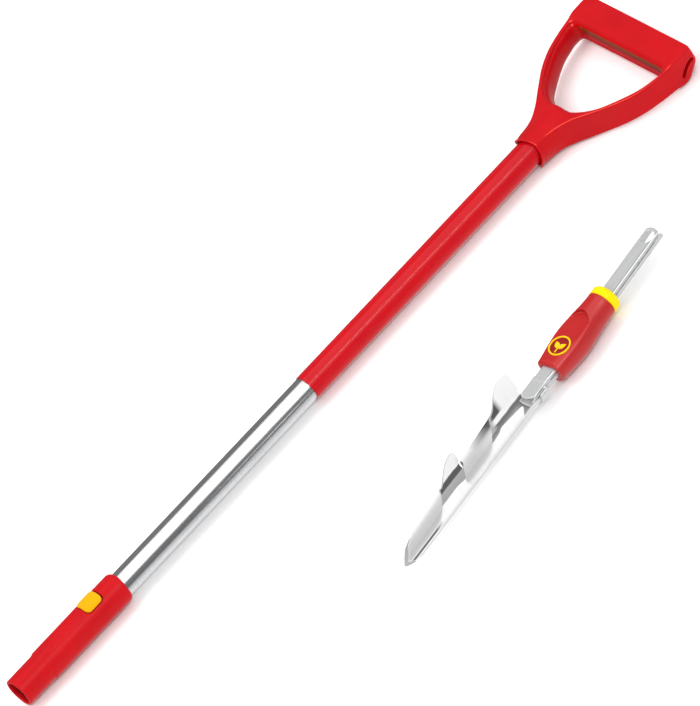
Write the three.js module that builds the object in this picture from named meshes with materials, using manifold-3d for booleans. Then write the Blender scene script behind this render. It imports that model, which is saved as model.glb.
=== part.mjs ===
// Interchangeable-head bulb planter: a D-grip handle with a quick-release socket, and the twist-in
// planter head that plugs into it. Both lie flat on one plane, the head beside the handle.
//
// Handle frame (mm): +X along the shaft from the socket mouth to the hand grip, +Z up, zero at the
// centre of the socket's open mouth, on the shaft axis. The head has its own frame, with +X from the
// blade tip to the shank's end. The kit is then shifted so that the origin is the centre of its
// footprint, on the plane it lies on.
import * as THREE from 'three';
import { mergeVertices } from 'three/addons/utils/BufferGeometryUtils.js';
import Module from 'manifold-3d';

const wasm = await Module();
wasm.setup();

const { degToRad, lerp } = THREE.MathUtils;

// ---------------------------------------------------------------- placing and shared sizes
const FOOTPRINT_CENTRE = [424.75, -93.645, -16.5]; // in the handle frame
const HEAD_POSITION = [285.5, -248, 0.9];
const HEAD_TURN = 7.97; // degrees about Z

const GAP = 0.3; // running gap between separate pieces
const SHANK = { width: 16.5, height: 8.5, wall: 2.0, end: 395.6 };

// ---------------------------------------------------------------- materials
const red = { color: 0xd41423, roughness: 0.38, metalness: 0.0 };
const glossRed = { color: 0xd81a28, roughness: 0.3, metalness: 0.0 };
const yellow = { color: 0xffc400, roughness: 0.45, metalness: 0.0 };
const dark = { color: 0x2a2a2c, roughness: 0.6, metalness: 0.0 };
const aluminium = { color: 0xc9ccd0, roughness: 0.3, metalness: 1.0 };
const steel = { color: 0xc4c6c8, roughness: 0.3, metalness: 1.0 };
const polished = { color: 0xd4d6d8, roughness: 0.16, metalness: 1.0 };
const zinc = { color: 0x9a9ca0, roughness: 0.45, metalness: 1.0 };

// ---------------------------------------------------------------- solids from geometry
// Welds a closed geometry, drops collapsed triangles and turns it right side out.
function solid(geometry) {
  let welded = geometry.clone();
  for (const name of Object.keys(welded.attributes)) {
    if (name !== 'position') welded.deleteAttribute(name);
  }
  welded = mergeVertices(welded, 1e-4);
  const { position } = welded.attributes;
  const index = welded.index.array;
  const corner = (i) => new THREE.Vector3().fromBufferAttribute(position, i);
  const triangles = [];
  let volume = 0;
  for (let i = 0; i < index.length; i += 3) {
    const [a, b, c] = [index[i], index[i + 1], index[i + 2]];
    if (a === b || b === c || a === c) continue;
    triangles.push(a, b, c);
    volume += corner(a).dot(corner(b).cross(corner(c)));
  }
  if (volume < 0) triangles.reverse();
  return new wasm.Manifold(new wasm.Mesh({
    numProp: 3,
    vertProperties: new Float32Array(position.array),
    triVerts: new Uint32Array(triangles),
  }));
}

function geometryOf(manifold) {
  const mesh = manifold.getMesh();
  const geometry = new THREE.BufferGeometry();
  const positions = Float32Array.from(mesh.vertProperties);
  geometry.setAttribute('position', new THREE.BufferAttribute(positions, 3));
  geometry.setIndex(new THREE.BufferAttribute(Uint32Array.from(mesh.triVerts), 1));
  geometry.computeVertexNormals();
  return geometry;
}

// Profile of [x, radius] pairs turned about the X axis; one that leaves the axis open is closed.
function turned(profile, segments) {
  const points = profile.map(([x, radius]) => new THREE.Vector2(radius, x));
  const onAxis = profile[0][1] === 0 && profile.at(-1)[1] === 0;
  if (!onAxis) points.push(points[0].clone());
  return solid(new THREE.LatheGeometry(points, segments).rotateZ(-Math.PI / 2));
}

const rod = (x0, x1, radius, segments) =>
  turned([[x0, 0], [x0, radius], [x1, radius], [x1, 0]], segments);

function box(x0, x1, y0, y1, z0, z1) {
  const geometry = new THREE.BoxGeometry(x1 - x0, y1 - y0, z1 - z0);
  return solid(geometry.translate((x0 + x1) / 2, (y0 + y1) / 2, (z0 + z1) / 2));
}

function extruded(points, depth) {
  const shape = new THREE.Shape(points.map(([a, b]) => new THREE.Vector2(a, b)));
  return new THREE.ExtrudeGeometry(shape, { depth, bevelEnabled: false });
}

// Outline of [x, y] points, extruded from z0 to z1.
const prismXY = (points, z0, z1) => solid(extruded(points, z1 - z0).translate(0, 0, z0));

// Outline of [x, z] points, extruded across Y, centred on y = 0.
const prismXZ = (points, halfWidth) =>
  solid(extruded(points, 2 * halfWidth).rotateX(Math.PI / 2).translate(0, halfWidth, 0));

function cylinder(start, end, radius, segments) {
  const from = new THREE.Vector3(...start);
  const to = new THREE.Vector3(...end);
  const along = to.clone().sub(from);
  const geometry = new THREE.CylinderGeometry(radius, radius, along.length(), segments);
  const up = new THREE.Vector3(0, 1, 0);
  geometry.applyQuaternion(new THREE.Quaternion().setFromUnitVectors(up, along.normalize()));
  const middle = from.add(to).multiplyScalar(0.5);
  return solid(geometry.translate(middle.x, middle.y, middle.z));
}

// Cylinder along Z, on the y = 0 plane.
const uprightCylinder = (x, z0, z1, radius, segments = 24) =>
  cylinder([x, 0, z0], [x, 0, z1], radius, segments);

// Cylinder along Y, centred on y = 0.
const crossCylinder = (x, z, halfLength, radius, segments) =>
  cylinder([x, -halfLength, z], [x, halfLength, z], radius, segments);

// Catmull-Rom curve through the points, two steps to a span.
function smooth(points) {
  const curve = new THREE.SplineCurve(points.map(([a, b]) => new THREE.Vector2(a, b)));
  return curve.getPoints((points.length - 1) * 2).map(({ x, y }) => [x, y]);
}

// Closes a half outline with its mirror image; a point on the mirror line is used once.
function mirrored(half) {
  const other = half.filter(([, b]) => b !== 0).map(([a, b]) => [a, -b]);
  return [...half, ...other.reverse()];
}

// Ellipse centred on [centre, 0]; an exponent under 1 squares it off.
function oval(centre, radiusA, radiusB, count, exponent = 1) {
  const bulge = (value) => Math.sign(value) * Math.abs(value) ** exponent;
  return Array.from({ length: count }, (_, i) => {
    const angle = (2 * Math.PI * i) / count;
    return [centre + radiusA * bulge(Math.cos(angle)), radiusB * bulge(Math.sin(angle))];
  });
}

// Rectangle centred on y = 0, each corner cut by two short edges.
function softRectangle(x0, x1, halfWidth, corner) {
  return mirrored([
    [x0, -halfWidth + corner], [x0 + 1, -halfWidth + 1], [x0 + corner, -halfWidth],
    [x1 - corner, -halfWidth], [x1 - 1, -halfWidth + 1], [x1, -halfWidth + corner],
  ]);
}

// Skin through sections of [x, y, z] points with equal counts, capped at both ends.
function loft(input) {
  const flatten = (section) => section.map(([, y, z]) => new THREE.Vector2(y, z));
  const clockwise = THREE.ShapeUtils.area(flatten(input[0])) < 0;
  const sections = clockwise ? input.map((section) => [...section].reverse()) : input;
  const count = sections[0].length;
  const index = [];
  for (let i = 0; i + 1 < sections.length; i++) {
    for (let j = 0; j < count; j++) {
      const a = i * count + j;
      const b = i * count + ((j + 1) % count);
      index.push(a, b, a + count, b, b + count, a + count);
    }
  }
  const last = sections.length - 1;
  for (const [a, b, c] of THREE.ShapeUtils.triangulateShape(flatten(sections[0]), [])) {
    index.push(a, c, b);
  }
  for (const triangle of THREE.ShapeUtils.triangulateShape(flatten(sections[last]), [])) {
    index.push(...triangle.map((i) => last * count + i));
  }
  const geometry = new THREE.BufferGeometry();
  geometry.setAttribute('position', new THREE.Float32BufferAttribute(sections.flat(2), 3));
  geometry.setIndex(index);
  return solid(geometry);
}

// ---------------------------------------------------------------- shaft and socket sizes
const SOCKET = {
  length: 138, radius: 16.5, noseRadius: 15.1, noseEnd: 32, shoulder: 37,
  mouthRadius: 12.25, mouthDepth: 5, bore: 12.8, screwX: 128,
};
const LINER = { step: 92, end: 122 }; // the tail beyond the step sits inside the tube
const CHANNEL = { end: 79, clearance: 0.4 }; // the hole that takes the shank
const TUBE = { start: LINER.step + GAP, end: 723.5, radius: 12.4, bore: 11.0 };
const SHAFT_SLEEVE = { start: 386.5, end: 703, radius: 13.2 };

const PIVOT = { x: 88, z: 8.7, radius: 1.5, halfLength: 7.2, eyeRadius: 3.0 };
const LEVER = { start: 62.2, end: 112, bottom: 7.2, top: 10.2, width: 8.4 };
const TOOTH = { start: 64.2, end: 70.2, bottom: 2.6, width: 6.6 };
const BUTTON = { start: 93.0, end: 113.2, halfWidth: 9.3, radius: 17.7 };
const SPRING = { x: 103, radius: 2.7, wireRadius: 0.45, bottom: -2.6, top: 6.4, turns: 5 };

// ---------------------------------------------------------------- shaft
function shaftTube() {
  const { start, end, radius, bore } = TUBE;
  const leverSlot = box(start - 1, 118, -5.6, 5.6, 5, 20);
  return turned([[start, bore], [start, radius], [end, radius], [end, bore]], 36)
    .subtract(leverSlot);
}

function shaftSleeve() {
  const { start, end, radius } = SHAFT_SLEEVE;
  const bore = TUBE.radius + GAP;
  return turned([
    [start, bore], [start, radius - 0.2], [start + 0.4, radius], [end, radius], [end, bore],
  ], 36);
}

function tubeTopPlug() {
  const radius = TUBE.bore - GAP;
  const end = TUBE.end - GAP;
  return turned([[712, 0], [712, radius - 0.6], [713, radius], [end, radius], [end, 0]], 30);
}

// ---------------------------------------------------------------- socket
function socketShell() {
  const { length, radius, noseRadius, noseEnd, shoulder, mouthRadius, mouthDepth, bore } = SOCKET;
  const body = turned([
    [0, mouthRadius], [0, 14.5], [0.7, noseRadius], [noseEnd, noseRadius],
    [shoulder, radius], [133.5, radius], [135.8, radius - 0.7], [137.3, radius - 1.9],
    [length, radius - 3.2], [length, bore], [mouthDepth, bore], [mouthDepth, mouthRadius],
  ], 44);
  const buttonOpening = softRectangle(
    BUTTON.start - 0.4, BUTTON.end + 1.2, BUTTON.halfWidth + GAP + 0.1, 3.4);
  return body
    .subtract(box(57, 118, -5, 5, 8, 13.9)) // roof groove over the lever
    .subtract(prismXY(buttonOpening, 3, 20))
    .subtract(uprightCylinder(SOCKET.screwX, -20, -9, 2.5));
}

function socketLiner() {
  const start = SOCKET.mouthDepth + GAP;
  const radius = SOCKET.bore - GAP;
  const tailRadius = TUBE.bore - GAP;
  const channelHalfWidth = SHANK.width / 2 + CHANNEL.clearance;
  const channelHalfHeight = SHANK.height / 2 + CHANNEL.clearance;
  const springFloor = SPRING.bottom - SPRING.wireRadius - GAP;
  const springWell = SPRING.radius + SPRING.wireRadius + 0.5;
  return turned([
    [start, 0], [start, radius], [LINER.step, radius],
    [LINER.step, tailRadius], [LINER.end, tailRadius], [LINER.end, 0],
  ], 36)
    .subtract(box(-1, CHANNEL.end, -channelHalfWidth, channelHalfWidth,
      -channelHalfHeight, channelHalfHeight))
    .subtract(box(57, 86, -4.8, 4.8, 6.9, 14)) // lever groove, towards the mouth
    .subtract(box(85, 123, -4.8, 4.8, 3.9, 14)) // deeper lever groove, under the button
    .subtract(box(62.2, 72.2, -3.9, 3.9, 2, 9)) // tooth passage
    .subtract(crossCylinder(PIVOT.x, PIVOT.z, 20, PIVOT.radius + GAP, 20))
    .subtract(uprightCylinder(SPRING.x, springFloor, 10, springWell, 20))
    .subtract(uprightCylinder(SOCKET.screwX, -14, 0, 2.3));
}

const leverPivotPin = () =>
  crossCylinder(PIVOT.x, PIVOT.z, PIVOT.halfLength, PIVOT.radius, 20);

function catchLever() {
  const { start, end, bottom, top, width } = LEVER;
  const toothRoot = bottom + 0.5;
  const tooth = prismXZ([
    [TOOTH.start + 2.6, TOOTH.bottom], [TOOTH.end, TOOTH.bottom], [TOOTH.end, toothRoot],
    [TOOTH.start, toothRoot], [TOOTH.start, TOOTH.bottom + 2.4],
  ], TOOTH.width / 2);
  return prismXZ([[start, bottom], [end, bottom], [end, top], [start, top]], width / 2)
    .add(tooth)
    .add(crossCylinder(PIVOT.x, PIVOT.z, width / 2, PIVOT.eyeRadius, 24))
    .subtract(crossCylinder(PIVOT.x, PIVOT.z, 6, PIVOT.radius + GAP, 20));
}

// A curved pad on a post that stands over the lever.
function releaseButton() {
  const { start, end, halfWidth, radius } = BUTTON;
  const band = turned([
    [start, radius - 2.5], [start, radius - 0.9], [start + 0.9, radius],
    [end - 0.9, radius], [end, radius - 0.9], [end, radius - 2.5],
  ], 60);
  return band.intersect(prismXY(softRectangle(start, end, halfWidth, 3.2), 5, 20))
    .add(box(98, 109, -3, 3, LEVER.top + GAP, 16));
}

class SpringHelix extends THREE.Curve {
  getPoint(t, target = new THREE.Vector3()) {
    const angle = 2 * Math.PI * SPRING.turns * t;
    return target.set(
      SPRING.x + SPRING.radius * Math.cos(angle),
      SPRING.radius * Math.sin(angle),
      SPRING.bottom + (SPRING.top - SPRING.bottom) * t,
    );
  }
}

function leverSpring() {
  const wire = new THREE.Shape();
  wire.absarc(0, 0, SPRING.wireRadius, 0, 2 * Math.PI);
  return solid(new THREE.ExtrudeGeometry(wire, {
    steps: SPRING.turns * 14,
    extrudePath: new SpringHelix(),
    curveSegments: 3,
  }));
}

const socketScrew = () =>
  uprightCylinder(SOCKET.screwX, -15.8, -13.2, 2.2, 20)
    .add(uprightCylinder(SOCKET.screwX, -13.4, -12.75, 1.4, 16));

// ---------------------------------------------------------------- D-grip
const COLLAR = { start: 684, radius: 15.5 };
const SADDLE_AXIS = { y: -0.587, z: 0.809 }; // direction of the cut across the collar's rim
const YOKE = { end: 836, halfWidth: 66.5, armHalfHeight: 8.5, screwX: 712 };
const BAR = { start: 813, end: 849.5, halfHeight: 14, halfWidth: 70 };

// Half outlines of the yoke in plan, [x, y].
const YOKE_OUTER = [
  [684, 15.5], [700, 18], [716, 25], [730, 31], [744, 38],
  [754, 45], [770, 54.5], [786, 60.5], [805, 65], [818, YOKE.halfWidth],
];
const YOKE_OPENING = [
  [817, 52], [813, 54.5], [800, 53], [785, 50], [762, 41],
  [750, 32.5], [742, 22], [738, 11], [737, 0],
];
// Half outline of the yoke from the side, [x, z].
const YOKE_SIDE = [
  [684, 15.5], [712, 15.5], [726, 14.2], [745, 11.4], [765, 9.4],
  [785, YOKE.armHalfHeight], [YOKE.end, YOKE.armHalfHeight],
];
// Half outline of the bar cover in plan, [x, y].
const BAR_PLAN = [
  [BAR.start - 1, 66.5], [818, 68.6], [826, 70], [838, 69.2],
  [844, 66], [848, 61], [BAR.end + 0.5, 54],
];

function gripYoke() {
  const { start, radius } = COLLAR;
  const plan = mirrored([...smooth(YOKE_OUTER), [YOKE.end, YOKE.halfWidth]]);
  const neck = turned([
    [start, 0], [start, radius - 0.6], [start + 1.2, radius], [start + 4, radius],
    [start + 12, radius], [start + 42, radius - 2], [start + 42, 0],
  ], 44);
  const saddle = extruded(oval(start - 0.5, 7.5, 13.4, 32), 60)
    .translate(0, 0, -30)
    .rotateX(Math.atan2(-SADDLE_AXIS.y, SADDLE_AXIS.z));
  return prismXY(plan, -20, 20)
    .intersect(prismXZ(mirrored(YOKE_SIDE), 90))
    .subtract(box(670, 700, -40, 40, -30, 30)) // clears the way for the round neck
    .add(neck)
    .subtract(prismXY(mirrored(smooth(YOKE_OPENING)), -25, 25))
    .subtract(rod(670, 704, SHAFT_SLEEVE.radius + 0.7, 36))
    .subtract(rod(700, 724, TUBE.radius + GAP, 36))
    .subtract(solid(saddle))
    .subtract(uprightCylinder(YOKE.screwX, -20, -12, 2.6));
}

const yokeScrew = () => uprightCylinder(YOKE.screwX, -15.0, -12.8, 2.3, 20);

// C-section cover over the hand bar, open towards the shaft.
function gripBarCover() {
  const centre = (BAR.start + BAR.end) / 2;
  const section = oval(centre, (BAR.end - BAR.start) / 2, BAR.halfHeight, 44, 0.8);
  const slotHalfHeight = YOKE.armHalfHeight + GAP;
  return prismXZ(section, BAR.halfWidth)
    .subtract(box(800, YOKE.end + GAP + 0.4, -80, 80, -slotHalfHeight, slotHalfHeight))
    .intersect(prismXY(mirrored(BAR_PLAN), -20, 20));
}

// side is 1 for +Y and -1 for -Y.
function gripPlug(side) {
  const [y0, y1] = [side * (YOKE.halfWidth + GAP), side * 68.4];
  return box(820, YOKE.end, Math.min(y0, y1), Math.max(y0, y1),
    -YOKE.armHalfHeight, YOKE.armHalfHeight);
}

// ---------------------------------------------------------------- blade
// Blade frame: X along the head, +Y towards the straight spine, +Z towards the trough's floor.
// Angles are in degrees about the blade's centre line, from +Y towards +Z.
const BLADE = {
  tipRadius: 9.4, radius: 13, taperStart: 28, taperLength: 124, spineY: 8.96, thickness: 1.6,
};
const SEAM = { from: -57, to: 291 }; // the sheet's two edges; the seam between them is open
const RIVET = { x: 198, lowerAngle: 22, upperAngle: 70 };
const LOBE_BEND = { from: 92, to: 118, flatLength: 22 };
const BEYOND = 40; // reach of cutting shapes past the blade

// Blade frame to head frame.
const ROLL = new THREE.Matrix4().makeBasis(
  new THREE.Vector3(1, 0, 0),
  new THREE.Vector3(0, -0.7036, -0.7106),
  new THREE.Vector3(0, 0.7106, -0.7036),
);

// Plan outlines in the blade frame, [x, y].
const TIP_PLAN = [ // what the pointed, oblique tip keeps of the sheet
  [26.8, -9.8], [22, -9.3], [12.4, -6.3], [0, 2.7], [1, 4.5], [7.6, 8.1],
  [17.2, 9.6], [17.2, 30], [215, 30], [215, -40], [26.8, -40],
];
const LOWER_WINDOW = [ // between the leaf at the tip and the middle band
  [49.7, 3.6], [36, 9.1], [36, 20], [104, 20], [98, 3.4], [96.5, 1.8], [103.2, -7.6],
  [107, -11.5], [107, -40], [78, -40], [77, -14], [62.1, -2.7],
];
const UPPER_WINDOW = [ // from the middle band out through the blade's top end
  [114.6, 7.2], [104, 7.4], [104, 20], [215, 20], [215, -40], [158.5, -40],
  [157.6, -17], [146.2, -7.2], [137.6, -0.9], [123.2, 5.4],
];
const LOWER_LOBE = [
  [74, -2], [76.8, -12.6], [85.5, -18.8], [95.5, -24.2], [100.5, -25.4], [105.1, -25.5],
  [108.6, -24.9], [109.9, -22.5], [109.4, -19.3], [106.2, -14.3], [107.5, -9], [109, -2],
];
const UPPER_LOBE = [
  [154, -2], [157, -14], [169.6, -24.2], [178, -28.4], [186.3, -31.2], [196.8, -32.2],
  [200.6, -29], [200.6, -26], [197.8, -19.7], [196.2, -14.3], [197.5, -9], [203.5, -2],
];
const TOP_CUT = [ // removed beyond the sloped top edge
  [196.3, -40], [197.5, -12], [203.5, -9.8], [204.5, 2],
  [207.6, 8], [207.6, 30], [230, 30], [230, -40],
];

const rolled = (manifold) => solid(geometryOf(manifold).applyMatrix4(ROLL));
const through = (plan) => prismXY(plan, -BEYOND, BEYOND);
const seamHalf = (plan) => prismXY(plan, -BEYOND, 0.3); // only the half on the -Z side

// Radius of the sheet's middle surface, widening from the tip.
function bladeRadius(x) {
  const taper = Math.min(1, Math.max(0, (x - BLADE.taperStart) / BLADE.taperLength));
  return BLADE.tipRadius + (BLADE.radius - BLADE.tipRadius) * taper;
}

// Point about the centre line, which shifts with the radius so that the spine stays straight.
function polar(x, degrees, radius) {
  const angle = degToRad(degrees);
  const centreY = BLADE.spineY - bladeRadius(x);
  return [x, centreY + radius * Math.cos(angle), radius * Math.sin(angle)];
}

// Arc-shaped cross-section: the outer arc out, then the inner arc back.
function arcSection(x, from, to, innerRadius, outerRadius, steps) {
  const arc = (radius) => Array.from({ length: steps + 1 }, (_, i) =>
    polar(x, from + ((to - from) * i) / steps, radius));
  return [...arc(outerRadius), ...arc(innerRadius).reverse()];
}

function sheetSection(x, from, to, steps) {
  const [radius, half] = [bladeRadius(x), BLADE.thickness / 2];
  return arcSection(x, from, to, radius - half, radius + half, steps);
}

const sheet = (stations, from, to, steps) =>
  loft(stations.map((x) => sheetSection(x, from, to, steps)));

// Lobe that leaves the curve of the wall along a flat, trimmed to its plan.
function lobe(start, end, plan) {
  const { from, to, flatLength } = LOBE_BEND;
  const angle = degToRad(to);
  const flatEnd = ([x, y, z]) =>
    [x, y - flatLength * Math.sin(angle), z + flatLength * Math.cos(angle)];
  const sections = [start, (start + end) / 2, end].map((x) => {
    const bend = sheetSection(x, from, to, 5);
    return [...bend.slice(0, 6), flatEnd(bend[5]), flatEnd(bend[6]), ...bend.slice(6)];
  });
  return loft(sections).intersect(through(plan));
}

const rivetCylinder = (angle, innerRadius, outerRadius, radius) =>
  cylinder(polar(RIVET.x, angle, innerRadius), polar(RIVET.x, angle, outerRadius), radius, 16);
const rivetHole = (angle) => rivetCylinder(angle, 7, 16, 2.1);
const bladeRivet = (angle) => rolled(rivetCylinder(angle, 8.7, 14.2, 1.8));

function blade() {
  const stations = [-4, 14, 28, 48, 68, 90, 110, 130, 152, 180, 209];
  const lobeZone = box(190, 202, -BEYOND, -13, -BEYOND, BEYOND);
  const shape = sheet(stations, SEAM.from, SEAM.to, 34)
    .intersect(through(TIP_PLAN))
    // each window is cut, then the strip between seam and spine is put back
    .subtract(seamHalf(LOWER_WINDOW))
    .add(sheet([36, 52, 70, 90, 110], SEAM.from, 5, 6))
    .subtract(seamHalf(UPPER_WINDOW))
    .add(sheet([104, 120, 140, 170, 209], -42, 5, 5))
    // the wall is trimmed back where the lobes join it
    .subtract(box(78, 107, -BEYOND, -8.5, -BEYOND, BEYOND))
    .subtract(box(158.5, 215, -BEYOND, -9.5, -BEYOND, BEYOND))
    .add(lobe(72, 116, LOWER_LOBE))
    .add(lobe(154, 206, UPPER_LOBE))
    .subtract(through(TOP_CUT).subtract(lobeZone))
    .subtract(rivetHole(RIVET.lowerAngle))
    .subtract(rivetHole(RIVET.upperAngle));
  return rolled(shape);
}

// ---------------------------------------------------------------- shank
const TAB_OUTER = BLADE.radius - BLADE.thickness / 2 - GAP - 0.3;
const TAB_INNER = TAB_OUTER - 2.2;
const CATCH_HOLE = { x: 385.2, radius: 6.2 };
const SLEEVE_PIN = { x: 240, radius: 2.0, boreRadius: 2.3 };
const TAB_END_PLAN = [ // [x, y] in the blade frame
  [190.5, -12], [191.2, -5], [193, 2], [194, 20], [230, 20], [230, -20], [190.5, -20],
];

const tabSection = (x, steps) => arcSection(x, -12, 98, TAB_INNER, TAB_OUTER, steps);

// Folded bar, open below, with its upper edges rounded.
function shankChannel() {
  const { wall, end } = SHANK;
  const [side, top] = [SHANK.width / 2, SHANK.height / 2];
  const section = [ // [y, z]
    [-side, -top], [-side, top - 1.4], [-side + 0.4, top - 0.4], [-side + 1.4, top],
    [side - 1.4, top], [side - 0.4, top - 0.4], [side, top - 1.4], [side, -top],
    [side - wall, -top], [side - wall, top - wall],
    [-side + wall, top - wall], [-side + wall, -top],
  ];
  return loft([214, end].map((x) => section.map(([y, z]) => [x, y, z])));
}

// Blends the curved tab into the full rectangle of the shank.
function shankTransition() {
  const curved = tabSection(203, 5).map((point) =>
    new THREE.Vector3(...point).applyMatrix4(ROLL).toArray());
  const row = (z) => Array.from({ length: 6 }, (_, i) =>
    [217, -SHANK.width / 2 + (SHANK.width * i) / 5, z]);
  const straight = [...row(-SHANK.height / 2), ...row(SHANK.height / 2).reverse()];
  return loft([0, 0.35, 0.7, 1].map((t) => curved.map(([x, y, z], i) => [
    lerp(x, straight[i][0], t),
    lerp(y, straight[i][1], t),
    lerp(z, straight[i][2], t * t * (3 - 2 * t)),
  ])));
}

function headShank() {
  const tab = loft([190.5, 206].map((x) => tabSection(x, 12))).intersect(through(TAB_END_PLAN));
  return shankChannel()
    .add(shankTransition())
    .add(rolled(tab))
    .subtract(uprightCylinder(CATCH_HOLE.x, -10, 10, CATCH_HOLE.radius, 32))
    .subtract(crossCylinder(SLEEVE_PIN.x, 0, 20, SLEEVE_PIN.boreRadius, 20))
    .subtract(rolled(rivetHole(RIVET.lowerAngle)))
    .subtract(rolled(rivetHole(RIVET.upperAngle)));
}

// ---------------------------------------------------------------- head sleeve and ring
const HEAD_SLEEVE = { start: 228, end: 309, facetZ: 9.5 };
const BADGE = { x: 249.5, radius: 11.2 };
const RING = { start: HEAD_SLEEVE.end + GAP, end: 318, radius: 14.2, lipEnd: 323, bore: 9.8 };
const SLEEVE_SWELL = [ // [x, radius]
  [HEAD_SLEEVE.start, 13.6], [HEAD_SLEEVE.start + 1.0, 14.4], [236, 15.2], [246, 16.4],
  [256, 17.2], [264, 17.4], [274, 16.7], [286, 15.4], [298, 14.3],
  [HEAD_SLEEVE.end - 0.8, 13.9], [HEAD_SLEEVE.end, 13.4],
];
const FACET_PLAN = [ // half outline, [x, y]
  [220, 30], [275, 30], [275, 14.5], [281, 12.6], [285, 9.6], [287.4, 5.2], [288.2, 0],
];

// Moulded sleeve with a flat facet on its upper side and a round recess for the badge.
function headSleeve() {
  const { start, end, facetZ } = HEAD_SLEEVE;
  const slotHalfWidth = SHANK.width / 2 + GAP;
  const slotHalfHeight = SHANK.height / 2 + GAP;
  return turned([[start, 0], ...SLEEVE_SWELL, [end, 0]], 44)
    .subtract(prismXY(mirrored(FACET_PLAN), facetZ, 30))
    .subtract(uprightCylinder(BADGE.x, facetZ - 1.0, 20, BADGE.radius + GAP, 40))
    .subtract(box(220, 320, -slotHalfWidth, slotHalfWidth, -slotHalfHeight, slotHalfHeight))
    .subtract(crossCylinder(SLEEVE_PIN.x, 0, 14, SLEEVE_PIN.boreRadius, 20));
}

function sleeveBadge() {
  const { facetZ } = HEAD_SLEEVE;
  return uprightCylinder(BADGE.x, facetZ - 0.7, facetZ + 0.6, BADGE.radius, 40);
}

const sleevePin = () => crossCylinder(SLEEVE_PIN.x, 0, 13.6, SLEEVE_PIN.radius, 20);

function collarRing() {
  const { start, end, radius, lipEnd, bore } = RING;
  return turned([
    [start, bore], [start, radius - 0.3], [start + 0.4, radius], [end - 1.2, radius],
    [end, radius - 1], [end, 11.9], [lipEnd, 10.7], [lipEnd, bore],
  ], 40);
}

// ---------------------------------------------------------------- assembly
function assemble(parts) {
  const group = new THREE.Group();
  for (const [name, manifold, look] of parts) {
    const mesh = new THREE.Mesh(geometryOf(manifold), new THREE.MeshStandardMaterial(look));
    mesh.name = name;
    group.add(mesh);
  }
  return group;
}

const handle = assemble([
  ['shaft_tube', shaftTube(), aluminium],
  ['shaft_sleeve', shaftSleeve(), glossRed],
  ['tube_top_plug', tubeTopPlug(), dark],
  ['socket_shell', socketShell(), red],
  ['socket_liner', socketLiner(), dark],
  ['lever_pivot_pin', leverPivotPin(), steel],
  ['catch_lever', catchLever(), zinc],
  ['release_button', releaseButton(), yellow],
  ['lever_spring', leverSpring(), steel],
  ['socket_screw', socketScrew(), zinc],
  ['grip_yoke', gripYoke(), red],
  ['yoke_screw', yokeScrew(), zinc],
  ['grip_bar_cover', gripBarCover(), red],
  ['grip_plug_left', gripPlug(1), dark],
  ['grip_plug_right', gripPlug(-1), dark],
]);

const head = assemble([
  ['blade', blade(), polished],
  ['blade_rivet_lower', bladeRivet(RIVET.lowerAngle), steel],
  ['blade_rivet_upper', bladeRivet(RIVET.upperAngle), steel],
  ['head_shank', headShank(), steel],
  ['head_sleeve', headSleeve(), red],
  ['sleeve_badge', sleeveBadge(), yellow],
  ['sleeve_pin', sleevePin(), steel],
  ['collar_ring', collarRing(), yellow],
]);
head.position.set(...HEAD_POSITION);
head.rotation.z = degToRad(HEAD_TURN);

const kit = new THREE.Group();
kit.add(handle, head);
kit.position.set(...FOOTPRINT_CENTRE.map((centre) => -centre));

export default kit;
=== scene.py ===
"""A long-handled planter in two parts, lying on a pale floor.

The handle is an aluminium tube with a latching socket at one end and a D-grip at the other.
The head, a rolled steel trough on a channel-shaped shank, lies beside it on the -Y side.

Shapes are written in millimetres in the working frame: +X along the shaft from the socket's
mouth to the grip, +Z up. The head has its own frame, with X running from the blade's tip.
"""

import math

import bmesh
import bpy
import numpy as np
from mathutils import Matrix, Vector
from mathutils.geometry import delaunay_2d_cdt


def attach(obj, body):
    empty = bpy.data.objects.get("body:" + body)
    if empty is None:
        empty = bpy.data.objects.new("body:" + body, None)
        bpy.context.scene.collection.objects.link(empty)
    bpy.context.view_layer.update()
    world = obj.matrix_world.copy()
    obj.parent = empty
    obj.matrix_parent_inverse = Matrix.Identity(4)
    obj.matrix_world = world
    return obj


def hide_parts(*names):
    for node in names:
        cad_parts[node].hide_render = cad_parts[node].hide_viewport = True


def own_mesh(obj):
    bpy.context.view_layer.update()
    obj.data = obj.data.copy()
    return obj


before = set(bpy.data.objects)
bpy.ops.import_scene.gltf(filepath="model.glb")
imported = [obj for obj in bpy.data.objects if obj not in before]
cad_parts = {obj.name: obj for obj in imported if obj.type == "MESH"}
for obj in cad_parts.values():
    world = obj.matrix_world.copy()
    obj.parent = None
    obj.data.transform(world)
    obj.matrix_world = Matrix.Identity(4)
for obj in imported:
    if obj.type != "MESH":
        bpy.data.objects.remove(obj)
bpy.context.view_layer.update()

# ------------------------------------------------------------------ frames
ORIGIN = np.array([424.75, -93.645, -16.5])  # the row frame's origin in the working frame
HEAD_POS = np.array([285.5, -248.0, 0.9])  # the head frame's origin in the working frame
TURN = math.radians(7.97)  # of the head about Z
HEAD_ROT = np.array([[math.cos(TURN), -math.sin(TURN), 0],
                     [math.sin(TURN), math.cos(TURN), 0],
                     [0, 0, 1]])
BLADE_COS, BLADE_SIN = 0.7036, 0.7106  # the trough's roll about the head's X


def row(p):
    """working frame (mm) to the row frame (m)"""
    return (np.asarray(p, float) - ORIGIN) / 1000.0


def head_row(p):
    """head frame (mm) to the row frame (m)"""
    return row(np.asarray(p, float) @ HEAD_ROT.T + HEAD_POS)


def blade_row(p):
    """blade frame (along, towards the spine, towards the trough's floor) to the row frame"""
    p = np.asarray(p, float)
    along, spine, floor = p[..., 0], p[..., 1], p[..., 2]
    return head_row(np.stack([along, -BLADE_COS * spine + BLADE_SIN * floor,
                              -BLADE_SIN * spine - BLADE_COS * floor], -1))


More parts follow.
